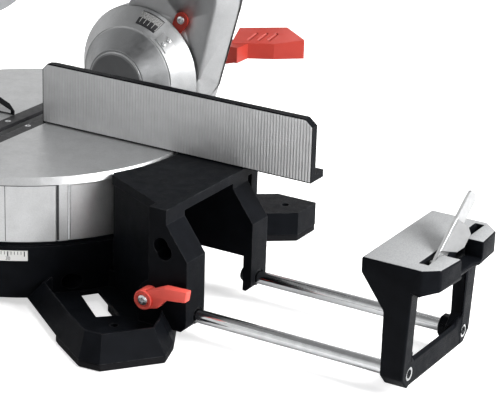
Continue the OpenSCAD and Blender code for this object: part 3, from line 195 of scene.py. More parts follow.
def make_stage():
    make_world()
    make_floor()
    for lamp in LAMPS:
        make_lamp(*lamp)


# Settings of all surfaces: spans of noise values and of cosines between two directions
NOISE_SPAN = (0.3, 0.7)
PATCH_SPAN = (0.35, 0.65)
# Cosines over which the painted highlight on sharp edges fades in
EDGE_HIGHLIGHT_SPAN = (0.985, 0.80)
FACING_SPAN = (0.85, 0.95)
PATCH_SCALE = 140.0
MOTTLE_DETAIL = 4.0
EDGE_SAMPLES = 4


class Surface:
    """A node material with grain, mottling and softened edges, in object coordinates."""

    def __init__(self, name, color, rough, metallic=0.0, gloss=0.5):
        self.material = bpy.data.materials.new(name)
        self.material.use_nodes = True
        self.tree = self.material.node_tree
        self.shader = self.tree.nodes["Principled BSDF"]
        self.shader.inputs["Metallic"].default_value = metallic
        self.shader.inputs["Specular IOR Level"].default_value = gloss
        self.place = self.add("ShaderNodeTexCoord").outputs["Object"]
        self.color = tuple(color) + (1.0,)
        self.rough = rough
        self.color_socket = None
        self.normal_socket = None

    def add(self, kind, **values):
        node = self.tree.nodes.new(kind)
        for key, value in values.items():
            if hasattr(node, key):
                setattr(node, key, value)
            else:
                node.inputs[key].default_value = value
        return node

    def link(self, out, into):
        self.tree.links.new(out, into)

    def feed(self, value, socket):
        """Links a socket to another one, or sets it to a plain value."""
        if isinstance(value, bpy.types.NodeSocket):
            self.link(value, socket)
        else:
            socket.default_value = value

    def noise(self, scale, detail=3.0, stretch=None):
        node = self.add("ShaderNodeTexNoise", Scale=scale, Detail=detail)
        place = self.place
        if stretch:
            mapping = self.add("ShaderNodeMapping", Scale=stretch)
            self.link(place, mapping.inputs["Vector"])
            place = mapping.outputs["Vector"]
        self.link(place, node.inputs["Vector"])
        return node.outputs["Fac"]

    def span(self, value, low, high, to_low=0.0, to_high=1.0):
        """A value moved from one span of numbers to another."""
        node = self.add("ShaderNodeMapRange")
        keys = ("From Min", "From Max", "To Min", "To Max")
        for key, number in zip(keys, (low, high, to_low, to_high)):
            node.inputs[key].default_value = number
        self.link(value, node.inputs["Value"])
        return node.outputs["Result"]

    def mix(self, factor, one, two):
        """A blend of two colours, each a socket or plain numbers."""
        node = self.add("ShaderNodeMix", data_type="RGBA")
        for index, value in zip(MIX_COLORS, (one, two)):
            if not isinstance(value, bpy.types.NodeSocket):
                value = tuple(value)[:3] + (1.0,)
            self.feed(value, node.inputs[index])
        self.link(factor, node.inputs[0])
        return node.outputs[MIX_COLOR_OUT]

    def math(self, operation, one, two=0.0):
        node = self.add("ShaderNodeMath", operation=operation)
        for socket, value in zip(node.inputs, (one, two)):
            self.feed(value, socket)
        return node.outputs[0]

    def length(self, one, two):
        """Length of a flat vector."""
        squares = self.math("ADD", self.math("MULTIPLY", one, one), self.math("MULTIPLY", two, two))
        return self.math("SQRT", squares)

    def mottle(self, scale, light, dark):
        """Colour that drifts between a lighter and a darker shade of itself."""
        drift = self.span(self.noise(scale, MOTTLE_DETAIL), *NOISE_SPAN)
        if self.color_socket:
            node = self.add("ShaderNodeHueSaturation")
            self.link(self.color_socket, node.inputs["Color"])
            self.link(self.span(drift, 0.0, 1.0, dark, light), node.inputs["Value"])
            self.color_socket = node.outputs["Color"]
        else:
            darker = [channel * dark for channel in self.color]
            lighter = [min(1.0, channel * light) for channel in self.color]
            self.color_socket = self.mix(drift, darker, lighter)
        return self

    def vary_rough(self, scale, amount, stretch=None):
        drift = self.noise(scale, stretch=stretch)
        rough = self.span(drift, *NOISE_SPAN, self.rough - amount, self.rough + amount)
        self.link(rough, self.shader.inputs["Roughness"])
        return self

    def rounded_normal(self, radius):
        return self.add("ShaderNodeBevel", samples=EDGE_SAMPLES, Radius=radius).outputs["Normal"]

    def soft_edges(self, radius):
        self.normal_socket = self.rounded_normal(radius)
        return self

    def bump(self, height, strength, distance):
        node = self.add("ShaderNodeBump", Strength=strength, Distance=distance)
        self.link(height, node.inputs["Height"])
        if self.normal_socket:
            self.link(self.normal_socket, node.inputs["Normal"])
        self.normal_socket = node.outputs["Normal"]
        return self

    def edge_wear(self, color, radius, amount):
        """Painted highlight: lighter colour, in patches, where the surface turns sharply."""
        geometry = self.add("ShaderNodeNewGeometry")
        dot = self.add("ShaderNodeVectorMath", operation="DOT_PRODUCT")
        self.link(self.rounded_normal(radius), dot.inputs[0])
        self.link(geometry.outputs["Normal"], dot.inputs[1])
        edge = self.span(dot.outputs["Value"], *EDGE_HIGHLIGHT_SPAN, 0.0, amount)
        patchy = self.math("MULTIPLY", edge, self.span(self.noise(PATCH_SCALE), *PATCH_SPAN))
        self.color_socket = self.mix(patchy, self.color_socket or self.color, color)
        return self

    def facing(self, axis):
        """1 where the surface faces that way in the piece's own frame."""
        coordinates = self.add("ShaderNodeTexCoord")
        dot = self.add("ShaderNodeVectorMath", operation="DOT_PRODUCT")
        dot.inputs[1].default_value = axis
        self.link(coordinates.outputs["Normal"], dot.inputs[0])
        return self.span(dot.outputs["Value"], *FACING_SPAN)

    def along(self, axis):
        split = self.add("ShaderNodeSeparateXYZ")
        self.link(self.place, split.inputs[0])
        return split.outputs[axis]

    def done(self):
        if self.color_socket:
            self.link(self.color_socket, self.shader.inputs["Base Color"])
        else:
            self.shader.inputs["Base Color"].default_value = self.color
        if not self.shader.inputs["Roughness"].is_linked:
            self.shader.inputs["Roughness"].default_value = self.rough
        if self.normal_socket:
            self.link(self.normal_socket, self.shader.inputs["Normal"])
        return self.material


# Colours of paint, bare metal and red plastic, some of them painted light on edges and levers
BLACK = (0.0042, 0.0048, 0.0062)
BARE = (0.40, 0.405, 0.41)
DOME_GREY = (0.27, 0.275, 0.28)
CAP_GREY = (0.13, 0.132, 0.135)
# Grey of the painted highlight on the edges of the black castings
EDGE_HIGHLIGHT_GREY = (0.10, 0.10, 0.105)
RED = (0.34, 0.030, 0.019)
# The same red plastic as RED, painted much lighter on the clamp levers as painted light on their shaded
# fronts
LIT_LEVER_RED = (0.86, 0.115, 0.088)


def raised(point):
    """A place on the lowered head, as it stands with the head up."""
    return CHOP_PIVOT + Matrix.Rotation(CHOP_LIFT, 3, "X") @ (Vector(point) - CHOP_PIVOT)


def painted(name):
    """Start of the black paint on a casting."""
    paint = Surface(name, BLACK, 0.40, gloss=0.03)
    return paint.mottle(60.0, light=1.25, dark=0.8).vary_rough(90.0, amount=0.07).soft_edges(0.0011)


def paint_grain(paint):
    """End of the black paint on a casting."""
    return paint.bump(paint.noise(2600.0, detail=2.0), strength=0.35, distance=0.0004).done()


def black_cast():
    # Black paint with a painted highlight, in patches, along its sharp edges
    return paint_grain(painted("black_cast").edge_wear(EDGE_HIGHLIGHT_GREY, radius=0.0012, amount=0.5))


def end_frame_cast():
    """Black paint with a bare top face."""
    top_span = (0.1364, 0.1366)
    paint = painted("end_frame_cast")
    top = paint.math("MULTIPLY", paint.facing((0, 0, 1)), paint.span(paint.along("Z"), *top_span))
    speckle = paint.span(paint.noise(900.0), *NOISE_SPAN)
    bare = paint.mix(speckle, (0.28, 0.285, 0.29), (0.38, 0.385, 0.39))
    paint.color_socket = paint.mix(top, paint.color_socket, bare)
    return paint_grain(paint)


def cast_grain(metal, light, dark, edge, strength):
    """Finish of a bare casting: slow drift, fine specks and a sandy surface."""
    metal.mottle(70.0, light=1.05, dark=0.95).mottle(1500.0, light, dark)
    metal.vary_rough(200.0, amount=0.06).soft_edges(edge)
    return metal.bump(metal.noise(1800.0), strength, distance=0.0004).done()


def bare_cast():
    metal = Surface("bare_cast", (0.52, 0.525, 0.53), 0.36, metallic=0.88)
    return cast_grain(metal, light=1.10, dark=0.88, edge=0.0012, strength=0.3)


def trunnion_cast():
    """Bare casting with a darker dome in front of the flared band."""
    dome_end = (0.1885, 0.1895)
    metal = Surface("trunnion_cast", BARE, 0.38, metallic=0.88)
    dome = metal.span(metal.along("Y"), *dome_end, 1.0, 0.0)
    metal.color_socket = metal.mix(dome, BARE, DOME_GREY)
    return cast_grain(metal, light=1.08, dark=0.90, edge=0.0012, strength=0.25)


def arm_cast():
    metal = Surface("arm_cast", BARE, 0.44, metallic=0.85)
    return cast_grain(metal, light=1.08, dark=0.90, edge=0.003, strength=0.25)


def cap_metal():
    """Dark cap with a bare rim."""
    rim_start = (0.0342, 0.0352)
    metal = Surface("cap_metal", CAP_GREY, 0.42, metallic=0.7)
    rise = metal.math("SUBTRACT", metal.along("Z"), BEVEL_Z)
    rim = metal.span(metal.length(rise, metal.along("X")), *rim_start)
    metal.color_socket = metal.mix(rim, CAP_GREY, BARE)
    metal.mottle(60.0, light=1.06, dark=0.94).vary_rough(200.0, amount=0.06).soft_edges(0.0008)
    return metal.bump(metal.noise(1600.0), strength=0.2, distance=0.0003).done()


def blade_steel():
    """Ground steel with fine rings round the arbor."""
    ring_rough = (0.24, 0.38)
    metal = Surface("blade_steel", (0.52, 0.53, 0.54), 0.30, metallic=1.0)
    middle = raised((0.0, *ARBOR))
    across = metal.math("SUBTRACT", metal.along("Y"), middle.y)
    rise = metal.math("SUBTRACT", metal.along("Z"), middle.z)
    place = metal.add("ShaderNodeCombineXYZ")
    metal.link(metal.length(across, rise), place.inputs["X"])
    rings = metal.add("ShaderNodeTexNoise", Scale=700.0, Detail=2.0)
    metal.link(place.outputs["Vector"], rings.inputs["Vector"])
    rough = metal.span(rings.outputs["Fac"], *NOISE_SPAN, *ring_rough)
    metal.link(rough, metal.shader.inputs["Roughness"])
    return metal.mottle(40.0, light=1.04, dark=0.95).done()


def milled_face():
    upright = (1.0, 1.0, 0.1)
    metal = Surface("milled_face", (0.58, 0.585, 0.59), 0.42, metallic=0.55)
    metal.mottle(60.0, light=1.05, dark=0.94).vary_rough(400.0, amount=0.06)
    return metal.bump(metal.noise(1500.0, stretch=upright), strength=0.12, distance=0.0002).done()


def brushed(name, color, rough, stretch):
    metal = Surface(name, color, rough, metallic=1.0)
    metal.mottle(120.0, light=1.06, dark=0.92).vary_rough(900.0, min(0.07, 0.5 * rough), stretch)
    return metal.bump(metal.noise(2500.0, 2.0, stretch), strength=0.08, distance=0.0002).done()


def moulded(name, color, rough, grain=2200.0, strength=0.22, edge=0.001, gloss=0.3):
    plastic = Surface(name, color, rough, gloss=gloss)
    plastic.mottle(45.0, light=1.08, dark=0.92).vary_rough(160.0, amount=0.06).soft_edges(edge)
    return plastic.bump(plastic.noise(grain, detail=2.0), strength, distance=0.0003).done()


def printed(name, color, rough):
    ink = Surface(name, color, rough)
    ink.mottle(90.0, light=1.04, dark=0.94).vary_rough(300.0, amount=0.05).soft_edges(0.0004)
    return ink.bump(ink.noise(1200.0, detail=2.0), strength=0.08, distance=0.0002).done()


def sintered():
    metal = Surface("sintered_bronze", (0.34, 0.22, 0.10), 0.42, metallic=0.9)
    metal.mottle(800.0, light=1.2, dark=0.75).vary_rough(700.0, amount=0.1).soft_edges(0.0005)
    return metal.bump(metal.noise(2600.0, detail=2.0), strength=0.3, distance=0.0003).done()


def wound_core():
    """Copper windings, as a wave with the wire's pitch."""
    wire_pitch = 0.0012
    copper = Surface("wound_core", (0.30, 0.13, 0.05), 0.35, metallic=0.6)
    copper.mottle(60.0, light=1.2, dark=0.7).vary_rough(300.0, amount=0.08)
    wave = copper.math("SINE", copper.math("MULTIPLY", copper.along("X"), 2.0 * math.pi / wire_pitch))
    return copper.bump(wave, strength=0.5, distance=0.0003).done()


def make_materials():
    even = (1.0, 1.0, 1.0)
    along_x = (0.02, 1.0, 1.0)
    along_y = (1.0, 0.02, 1.0)
    across_x = (1.0, 0.04, 0.04)
    return {
        "black_cast": black_cast(),
        "end_frame": end_frame_cast(),
        "bare_cast": bare_cast(),
        "milled": milled_face(),
        "trunnion": trunnion_cast(),
        "arm": arm_cast(),
        "cap_metal": cap_metal(),
        "steel": brushed("bright_steel", (0.60, 0.61, 0.62), 0.32, even),
        "rod_x": brushed("rod_steel", (0.62, 0.63, 0.64), 0.16, along_x),
        "rod_y": brushed("rail_steel", (0.42, 0.43, 0.44), 0.24, along_y),
        "sheet": brushed("sheet_steel", (0.52, 0.525, 0.53), 0.34, across_x),
        "dark_steel": brushed("dark_steel", (0.20, 0.20, 0.21), 0.36, even),
        "blade": blade_steel(),
        "housing": moulded("housing_black", (0.015, 0.016, 0.018), 0.42, edge=0.0015),
        "red": moulded("red_plastic", RED, 0.40),
        # Red made lighter as painted light for the clamp levers
        "lit_lever_red": moulded("lit_lever_red", LIT_LEVER_RED, 0.40),
        "black_plastic": moulded("black_plastic", (0.018, 0.018, 0.020), 0.5),
        "grey_plastic": moulded("grey_plastic", (0.085, 0.088, 0.092), 0.5),
        "guard_grey": moulded("guard_grey", (0.20, 0.205, 0.21), 0.42),
        "rubber": moulded("pad_rubber", (0.005, 0.005, 0.006), 0.75, grain=900.0, strength=0.4, gloss=0.1),
        "belt": moulded("belt_rubber", (0.012, 0.012, 0.012), 0.7, grain=900.0, strength=0.4),
        "scale_white": printed("scale_white", (0.72, 0.72, 0.70), 0.4),
        # Dark ink of the scales, also used for the strips of painted shade on the turntable's wall
        "print_and_shade_black": printed("print_and_shade_black", (0.015, 0.015, 0.017), 0.35),
        "bronze": sintered(),
        "wound": wound_core(),
    }


# Look of each material slot, and of the nodes that differ from their slot
SLOT_LOOK = {
    "black_cast": "black_cast", "bare_cast": "bare_cast", "steel": "steel", "rod_steel": "rod_x",
    "red_plastic": "red", "black_plastic": "black_plastic", "grey_plastic": "grey_plastic",
    "pad_rubber": "rubber", "scale_print": "scale_white", "dark_scale": "print_and_shade_black", "bronze": "bronze",
    "guard_grey": "guard_grey", "blade_steel": "blade", "copper_core": "wound", "belt_rubber": "belt",
}
NODE_LOOK = {
    "right_end_frame": "end_frame", "left_end_frame": "end_frame", "fence_right": "black_cast",
    "fence_left": "black_cast", "fence_slide": "black_cast", "slide_rails": "rod_y", "right_stop": "sheet",
    "left_stop": "sheet", "bevel_trunnion": "trunnion", "bevel_arm": "arm", "trunnion_cap": "cap_metal",
    "upper_guard": "housing", "drive_housing": "housing", "motor_housing": "housing",
    "bevel_stop_plate": "sheet",
}


def dress_nodes():
    for node, slot in SLOT_OF.items():
        mesh = nodes[node].data
        mesh.materials.clear()
        mesh.materials.append(looks[NODE_LOOK.get(node, SLOT_LOOK[slot])])


def add_piece(name, mesh, look, body):
    piece = bpy.data.objects.new(name, mesh)
    scene.collection.objects.link(piece)
    mesh.materials.clear()
    mesh.materials.append(looks[look])
    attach(piece, body)
    return piece


def smooth_by_angle(mesh, degrees):
    for face in mesh.polygons:
        face.use_smooth = True
    mesh.set_sharp_from_angle(angle=math.radians(degrees))


# Nodes shown with rounded edges: width of the rounding and look
ROUNDED = {
    "right_end_frame": (0.0022, "end_frame"), "left_end_frame": (0.0022, "end_frame"),
    "right_clamp_lever": (0.0016, "lit_lever_red"), "left_clamp_lever": (0.0016, "lit_lever_red"),
    "foot_pads": (0.0016, "rubber"),
    "handle": (0.0030, "black_plastic"), "bevel_arm": (0.0030, "arm"),
    "carriage": (0.0025, "black_cast"), "rail_end_cap": (0.0025, "black_plastic"),
}
# Only the side rims of the handle are rounded, which keeps it clear of the trigger and the button
SIDE_RIMS_ONLY = {"handle"}
RIM_DEPTH = 0.0002
# Edges that are welded, dissolved and rounded; the shortest rounded one is in widths of the rounding
WELD_GAP = 2e-6
FLAT_ANGLE = math.radians(0.4)
SHARP_ANGLE = math.radians(28.0)
SHORTEST_IN_WIDTHS = 3.0
ROUND_STEPS = 3


def edges_to_round(shape, node, width):
    sharp = [edge for edge in shape.edges
             if len(edge.link_faces) == 2 and edge.calc_face_angle() > SHARP_ANGLE]
    if node in SIDE_RIMS_ONLY:
        rim = max(abs(vert.co.x) for vert in shape.verts) - RIM_DEPTH
        return [edge for edge in sharp if all(abs(vert.co.x) > rim for vert in edge.verts)]
    return [edge for edge in sharp if edge.calc_length() > SHORTEST_IN_WIDTHS * width]


def add_rounded(node, width, look):
    """A copy of a CAD node with softly rounded edges, which stands for it."""
    source = nodes[node]
    shape = bmesh.new()
    shape.from_mesh(source.data)
    bmesh.ops.remove_doubles(shape, verts=shape.verts, dist=WELD_GAP)
    bmesh.ops.dissolve_limit(shape, angle_limit=FLAT_ANGLE, verts=shape.verts, edges=shape.edges)
    bmesh.ops.bevel(shape, geom=edges_to_round(shape, node, width), offset=width, offset_type="OFFSET",
                    segments=ROUND_STEPS, profile=0.5, affect="EDGES", clamp_overlap=False)
    bmesh.ops.triangulate(shape, faces=[face for face in shape.faces if len(face.verts) > 4])
    mesh = bpy.data.meshes.new(node + "_rounded")
    shape.to_mesh(mesh)
    shape.free()
    smooth_by_angle(mesh, degrees=20.0)
    piece = add_piece(node + "_rounded", mesh, look, source["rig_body"])
    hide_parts(node)


def round_rings(*pairs):
    """Plain rings of a turned form, from pairs of radius and height."""
    return [(radius, height, 0, 0.0) for radius, height in pairs]


def add_turned(name, rings, place, axis, look, body, sides=32):
    """A turned form: rings of (radius, height, lobes, depth of the lobes) along an axis from a place."""
    verts, faces = [], []
    turn = Vector(axis).to_track_quat("Z", "Y").to_matrix()
    for radius, height, lobes, depth in rings:
        for i in range(sides):
            angle = 2.0 * math.pi * i / sides
            reach = radius * (1.0 + depth * math.cos(lobes * angle))
            corner = Vector((reach * math.cos(angle), reach * math.sin(angle), height))
            verts.append(Vector(place) + turn @ corner)
    for k in range(len(rings) - 1):
        for i in range(sides):
            j = (i + 1) % sides
            faces.append((k * sides + i, k * sides + j, (k + 1) * sides + j, (k + 1) * sides + i))
    last = (len(rings) - 1) * sides
    faces.append(tuple(reversed(range(sides))))
    faces.append(tuple(range(last, last + sides)))
    mesh = new_mesh(name, verts, faces)
    smooth_by_angle(mesh, degrees=35.0)
    add_piece(name, mesh, look, body)


def add_screw(name, body, place, axis, radius, height, look="steel"):
    """Domed screw head with a recess of four lobes; place is the middle of its seat."""
    lobes, depth = 4, 0.28
    rings = round_rings((radius, 0.0), (radius, 0.35 * height), (0.93 * radius, 0.70 * height),
                        (0.72 * radius, 0.93 * height), (0.60 * radius, height))
    rings += [(0.44 * radius, height, lobes, depth), (0.38 * radius, 0.35 * height, lobes, depth)]
    add_turned(name, rings, place, axis, look, body)


def bar_sides(count):
    """Side faces of a bar through that many four-cornered sections."""
    faces = []
    for i in range(count - 1):
        near, far = 4 * i, 4 * i + 4
        faces += [(near + k, far + k, far + (k + 1) % 4, near + (k + 1) % 4) for k in range(4)]
    return faces


def add_sweep(name, sections, look, body):
    """Closed bar through a row of four-cornered sections."""
    verts = [corner for section in sections for corner in section]
    last = 4 * (len(sections) - 1)
    ends = [(3, 2, 1, 0), (last, last + 1, last + 2, last + 3)]
    mesh = new_mesh(name, verts, bar_sides(len(sections)) + ends)
    shape = bmesh.new()
    shape.from_mesh(mesh)
    bmesh.ops.recalc_face_normals(shape, faces=shape.faces)
    shape.to_mesh(mesh)
    shape.free()
    smooth_by_angle(mesh, degrees=30.0)
    add_piece(name, mesh, look, body)


class Print:
    """Thin marks on an upright cylinder round the table's axis, joined in one mesh: print, and also strips
    of painted shade.
    """

    def __init__(self, radius):
        self.radius = radius
        self.verts, self.faces = [], []

    def add(self, points, faces):
        """Puts flat points (run, rise) on the cylinder; run 0 is at its front."""
        start = len(self.verts)
        for run, rise in points:
            angle = run / self.radius
            self.verts.append((self.radius * math.sin(angle), -self.radius * math.cos(angle), rise))
        self.faces += [tuple(start + i for i in face) for face in faces]

    def tick(self, angle, width, low, high):
        run = self.radius * math.radians(angle)
        left, right = run - width / 2, run + width / 2
        self.add([(left, low), (right, low), (right, high), (left, high)], [(0, 1, 2, 3)])

    def number(self, text, angle, rise, size):
        curve = bpy.data.curves.new("number", "FONT")
        curve.body = text
        curve.size = size
        curve.align_x = "CENTER"
        curve.align_y = "CENTER"
        holder = bpy.data.objects.new("number", curve)
        scene.collection.objects.link(holder)
        bpy.context.view_layer.update()
        mesh = bpy.data.meshes.new_from_object(holder)
        run = self.radius * math.radians(angle)
        self.add([(run + vert.co.x, rise + vert.co.y) for vert in mesh.vertices],
                 [tuple(face.vertices) for face in mesh.polygons])
        bpy.data.objects.remove(holder)
        bpy.data.curves.remove(curve)
        bpy.data.meshes.remove(mesh)

    def finish(self, name, look, body):
        add_piece(name, new_mesh(name, self.verts, self.faces), look, body)


def flare_point(angle, y, lift):
    """A place over the flared band of the trunnion, and the way out from it."""
    turn = math.radians(angle)
    radius = FLARE_R + FLARE_SLOPE * (y - FLARE_Y) + lift
    place = Vector((radius * math.cos(turn), y, BEVEL_Z + radius * math.sin(turn)))
    out = Vector((math.cos(turn), -FLARE_SLOPE, math.sin(turn))).normalized()
    return place, out


def head_point(middle, x, radius, angle):
    """A place round an axis of the head, with the head up; angle 0 is the back of the lowered head."""
    y, z = middle
    turn = math.radians(angle)
    return raised((x, y + radius * math.cos(turn), z + radius * math.sin(turn)))


def guard_point(x, radius, angle):
    return head_point(ARBOR, x, radius, angle)


def motor_point(x, radius, angle):
    return head_point(MOTOR, x, radius, angle)


def add_rod_trim(side, word):
    """Screws in the outer ends of an extension's rods, and a cap on the rear rod's inner end."""
    front_y, rear_y, z = -0.125, -0.0057, 0.0235
    screw_x, cap_x = 0.5222, 0.2885
    body = word + "_extension"
    for k, y in enumerate((front_y, rear_y)):
        add_screw(f"{word}_rod_screw_{k}", body, (side * screw_x, y, z), (side, 0, 0),
                  radius=0.0040, height=0.0032, look="dark_steel")
    rings = round_rings((0.0072, 0.0), (0.0076, 0.0006), (0.0076, 0.0062), (0.0068, 0.0074),
                        (0.0040, 0.0078), (0.0034, 0.0068))
    add_turned(word + "_rod_cap", rings, (side * cap_x, rear_y, z), (-side, 0, 0),
               "black_plastic", body)


def add_clamp_trim(side, word):
    """Raised rim and screw on the hub of an extension's clamp lever."""
    x, z = side * 0.2585, 0.0435
    rim_y, screw_y = -0.1612, -0.1613
    body = word + "_clamp"
    rings = round_rings((0.0102, 0.0), (0.0102, 0.0011), (0.0094, 0.0016), (0.0082, 0.0013),
                        (0.0074, 0.0003))
    add_turned(word + "_clamp_rim", rings, (x, rim_y, z), (0, -1, 0), "lit_lever_red", body)
    add_screw(word + "_clamp_screw", body, (x, screw_y, z), (0, -1, 0), radius=0.0056, height=0.0026)


def add_kerf_screws():
    top_z = 0.1364
    places = [(x, y, top_z) for x in (-0.0145, 0.0125) for y in (-0.215, -0.12, -0.02, 0.05)]
    for k, place in enumerate(places):
        add_screw(f"kerf_screw_{k}", "turntable", place, (0, 0, 1), radius=0.0036, height=0.0009)


def add_bevel_screws():
    """Screws of the bevel stop plate and of the bevel pointer."""
    plate_angle, plate_lift = 45.0, 0.0017
    pointer_place = (0.057, 0.2155, 0.210)
    for k, y in enumerate((0.1948, 0.2008)):
        place, out = flare_point(plate_angle, y, plate_lift)
        add_screw(f"stop_plate_screw_{k}", "turntable", place, out, radius=0.0026, height=0.0014)
    add_screw("bevel_pointer_screw", "bevel_arm", pointer_place, (0, -1, 0), radius=0.0048, height=0.0024)


def add_guard_screws():
    """Screws on the right and left faces of the upper guard."""
    ring_r = 0.106
    faces = ((0.015, 1), (-0.014, -1))
    places = [(x, way, angle) for angle in (20.0, 70.0, 110.0, 160.0) for x, way in faces]
    for k, (x, way, angle) in enumerate(places):
        add_screw(f"guard_screw_{k}", "head", guard_point(x, ring_r, angle), (way, 0, 0),
                  radius=0.0042, height=0.0024, look="dark_steel")


def add_handle_screws():
    """Screws along the middle of the handle's loop."""
    face_x = 0.016
    places = ((-0.205, 0.379), (-0.150, 0.373), (-0.150, 0.313), (-0.215, 0.311))
    for k, (y, z) in enumerate(places):
        add_screw(f"handle_screw_{k}", "head", raised((face_x, y, z)), (1, 0, 0),
                  radius=0.0038, height=0.0016, look="dark_steel")


def add_motor_cap_screws():
    face_x, ring_r = 0.193, 0.0325
    for k, angle in enumerate((45.0, 135.0, 225.0, 315.0)):
        add_screw(f"motor_cap_screw_{k}", "head", motor_point(face_x, ring_r, angle), (1, 0, 0),
                  radius=0.0034, height=0.0018, look="dark_steel")


def add_guard_rims(word, low, high):
    """Two raised rims on a face of the upper guard, between two places along X."""
    rims = ((0.1130, 0.1200, 4.0, 176.0), (0.0745, 0.0775, 12.0, 168.0))
    inner_foot, outer_draw, inner_draw = 0.0006, 0.0008, 0.0004
    steps = 48
    for k, (inner, outer, start, end) in enumerate(rims):
        sections = []
        for step in range(steps + 1):
            angle = start + (end - start) * step / steps
            sections.append([guard_point(low, inner - inner_foot, angle),
                             guard_point(low, outer, angle),
                             guard_point(high, outer - outer_draw, angle),
                             guard_point(high, inner + inner_draw, angle)])
        add_sweep(f"guard_{word}_rib_{k}", sections, "housing", "head")


def add_guard_spokes(word, low, high):
    """Spokes from rim to rim on a face of the upper guard, a little lower than the rims."""
    ends = (0.0768, 0.1140)
    half_width, taper, dip = 0.0016, 0.7, 0.0004
    top = high - math.copysign(dip, high)
    for k, angle in enumerate((38.0, 64.0, 90.0, 116.0, 142.0)):
        sections = []
        for radius in ends:
            half = math.degrees(half_width / radius)
            sections.append([guard_point(low, radius, angle - half),
                             guard_point(low, radius, angle + half),
                             guard_point(top, radius, angle + taper * half),
                             guard_point(top, radius, angle - taper * half)])
        add_sweep(f"guard_{word}_spoke_{k}", sections, "housing", "head")


def add_guard_ribs():
    for word, low, high in (("right", 0.0146, 0.0164), ("left", -0.0136, -0.0154)):
        add_guard_rims(word, low, high)
        add_guard_spokes(word, low, high)


# Angles of the two brush caps round the motor
BRUSH_ANGLES = (0, 180)


def add_motor_fins():
    """Cooling fins along the motor, left out where the brush caps are."""
    foot_r, foot_half, top_half = 0.0430, 1.9, 1.3
    top_line = ((0.0800, 0.0442), (0.0830, 0.0458), (0.1560, 0.0458), (0.1590, 0.0442))
    for k, angle in enumerate(range(20, 360, 20)):
        if angle in BRUSH_ANGLES:
            continue
        sections = []
        for x, top_r in top_line:
            sections.append([motor_point(x, foot_r, angle - foot_half),
                             motor_point(x, foot_r, angle + foot_half),
                             motor_point(x, top_r, angle + top_half),
                             motor_point(x, top_r, angle - top_half)])
        add_sweep(f"motor_fin_{k}", sections, "housing", "head")


def add_brush_caps():
    """Round caps with a slot of two lobes."""
    x, seat_r = 0.140, 0.0432
    lobes, depth = 2, 0.45
    rings = round_rings((0.0090, 0.0), (0.0090, 0.0022), (0.0083, 0.0030))
    rings += [(0.0055, 0.0030, lobes, depth), (0.0052, 0.0016, lobes, depth)]
    for k, angle in enumerate(BRUSH_ANGLES):
        way = motor_point(0.0, 1.0, angle) - motor_point(0.0, 0.0, angle)
        add_turned(f"brush_cap_{k}", rings, motor_point(x, seat_r, angle), way,
                   "black_plastic", "head")


# Fences: top of the two high ones, foot of their cut corners, and outer end of the milled fronts
FENCE_HIGH = 0.2045
FENCE_SHOULDER = FENCE_HIGH - 0.0080
MILLED_END_X = 0.3525


def right_fence_top(x):
    """Height of the right fence at x: flat, with a cut corner at each end."""
    inner_x, outer_x, outer_slope = 0.0170, 0.3545, 9 / 11
    return min(FENCE_HIGH, FENCE_SHOULDER + (x - inner_x), FENCE_SHOULDER + (outer_x - x) * outer_slope)


def left_fence_top(x):
    """Height of the low left fence at x: flat, with a slope down to the blade."""
    high, low, inner_x, slope = 0.1570, 0.1410, -0.0210, 16.5 / 45
    return min(high, low + (inner_x - x) * slope)


def slide_fence_top(x):
    """Height of the sliding fence at x: flat, with a steep inner end and a cut outer corner."""
    low, inner_x, inner_slope = 0.1575, -0.1500, 47.0 / 32
    outer_x, outer_slope = -0.3535, 8 / 10
    inner = low + (inner_x - x) * inner_slope
    return min(FENCE_HIGH, inner, FENCE_SHOULDER + (x - outer_x) * outer_slope)


def add_milled_front(name, body, left, right, foot, top):
    """Milled front of a fence: upright ridges from its foot to just under its top."""
    pitch, valley_y, crest_y, back_y, margin = 0.0035, -0.00005, -0.00045, 0.0003, 0.0012
    count = 2 * round((right - left) / pitch)
    verts = []
    for i in range(count + 1):
        x = left + (right - left) * i / count
        front_y = valley_y if i % 2 == 0 else crest_y
        high = top(x) - margin
        verts += [(x, front_y, foot), (x, front_y, high), (x, back_y, high), (x, back_y, foot)]
    last = 4 * count
    ends = [(0, 1, 2, 3), (last + 3, last + 2, last + 1, last)]
    add_piece(name, new_mesh(name, verts, bar_sides(count + 1) + ends), "milled", body)


def add_fence_faces():
    foot, slide_foot = 0.1385, 0.1588
    add_milled_front("fence_right_face", "base", 0.0190, MILLED_END_X, foot, right_fence_top)
    add_milled_front("fence_left_face", "base", -MILLED_END_X, -0.0260, foot, left_fence_top)
    add_milled_front("fence_slide_face", "fence_slider", -MILLED_END_X, -0.1540, slide_foot, slide_fence_top)


def add_mitre_print():
    """Ticks for each degree and a number for each 15 on the mitre scale."""
    scale_r, lift = 0.1943, 0.00015
    top_z, number_z, number_size = 0.0595, 0.0517, 0.0052
    marks = Print(scale_r + lift)
    for angle in range(-35, 36):
        width, length = (0.0011, 0.0056) if angle % 5 == 0 else (0.0006, 0.0036)
        marks.tick(angle, width, top_z - length, top_z)
    for angle in (-30, -15, 0, 15, 30):
        marks.number(str(abs(angle)), angle, number_z, number_size)
    marks.finish("mitre_scale_print", "print_and_shade_black", "base")


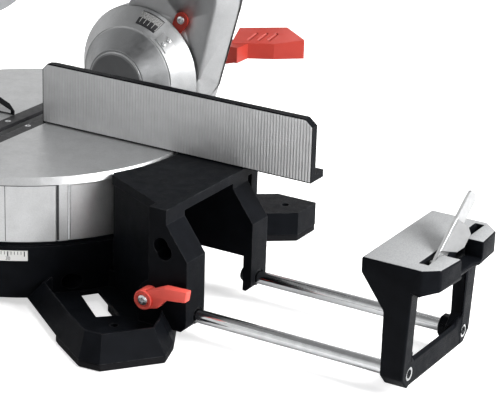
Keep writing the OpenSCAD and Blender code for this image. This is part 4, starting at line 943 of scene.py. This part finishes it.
def add_drum_beads():
    """Bright upright bead on each side of the turntable's wall."""
    drum_r, turn, foot = 0.1900, math.radians(48.9), 0.0692
    rings = round_rings((0.0006, 0.0), (0.0012, 0.0008), (0.0012, 0.0592), (0.0006, 0.0600))
    for side, word in SIDES:
        place = (side * drum_r * math.sin(turn), -drum_r * math.cos(turn), foot)
        add_turned(word + "_drum_bead", rings, place, (0, 0, 1), "steel", "turntable", sides=16)


def add_drum_seams():
    """Painted shade: dark strips in the joints of the turntable's wall, and a painted shadow line under its
    rim made of short lengths.
    """
    shade_r, low, high = 0.1903, 0.0690, 0.1292
    shaded_joints = ((45.3, 0.0026), (29.2, 0.0006))
    line_low, line_high, line_length = 0.1286, 0.1294, 0.0026
    line_start, line_step, line_count = 22.0, 0.75, 32
    # Dark strips of painted shade in the wall's joints, and a painted shadow line under the rim
    marks = Print(shade_r)
    for side in (1, -1):
        for angle, width in shaded_joints:
            marks.tick(side * angle, width, low, high)
        for k in range(line_count):
            marks.tick(side * (line_start + line_step * k), line_length, line_low, line_high)
    marks.finish("drum_shade_strips", "print_and_shade_black", "turntable")


def add_bevel_print():
    """Ticks on the bevel scale, with every fifth one longer."""
    first_angle, step_angle, half_angle, lift = 61.5, 0.96, 0.16, 0.00135
    long_y, short_y, end_y = 0.1975, 0.2030, 0.2098
    verts, faces = [], []
    for step in range(24):
        angle = first_angle + step * step_angle
        left, right = angle - half_angle, angle + half_angle
        near_y = long_y if step % 5 == 0 else short_y
        for edge, y in ((left, near_y), (right, near_y), (right, end_y), (left, end_y)):
            verts.append(flare_point(edge, y, lift)[0])
        faces.append(tuple(range(4 * step, 4 * step + 4)))
    mesh = new_mesh("bevel_scale_print", verts, faces)
    add_piece("bevel_scale_print", mesh, "scale_white", "turntable")


make_camera()
make_stage()
looks = make_materials()
dress_nodes()
for node, (width, look) in ROUNDED.items():
    add_rounded(node, width, look)
for side, word in SIDES:
    add_rod_trim(side, word)
    add_clamp_trim(side, word)
add_kerf_screws()
add_bevel_screws()
add_guard_screws()
add_handle_screws()
add_motor_cap_screws()
add_guard_ribs()
add_motor_fins()
add_brush_caps()
add_fence_faces()
add_mitre_print()
add_drum_beads()
add_drum_seams()
add_bevel_print()
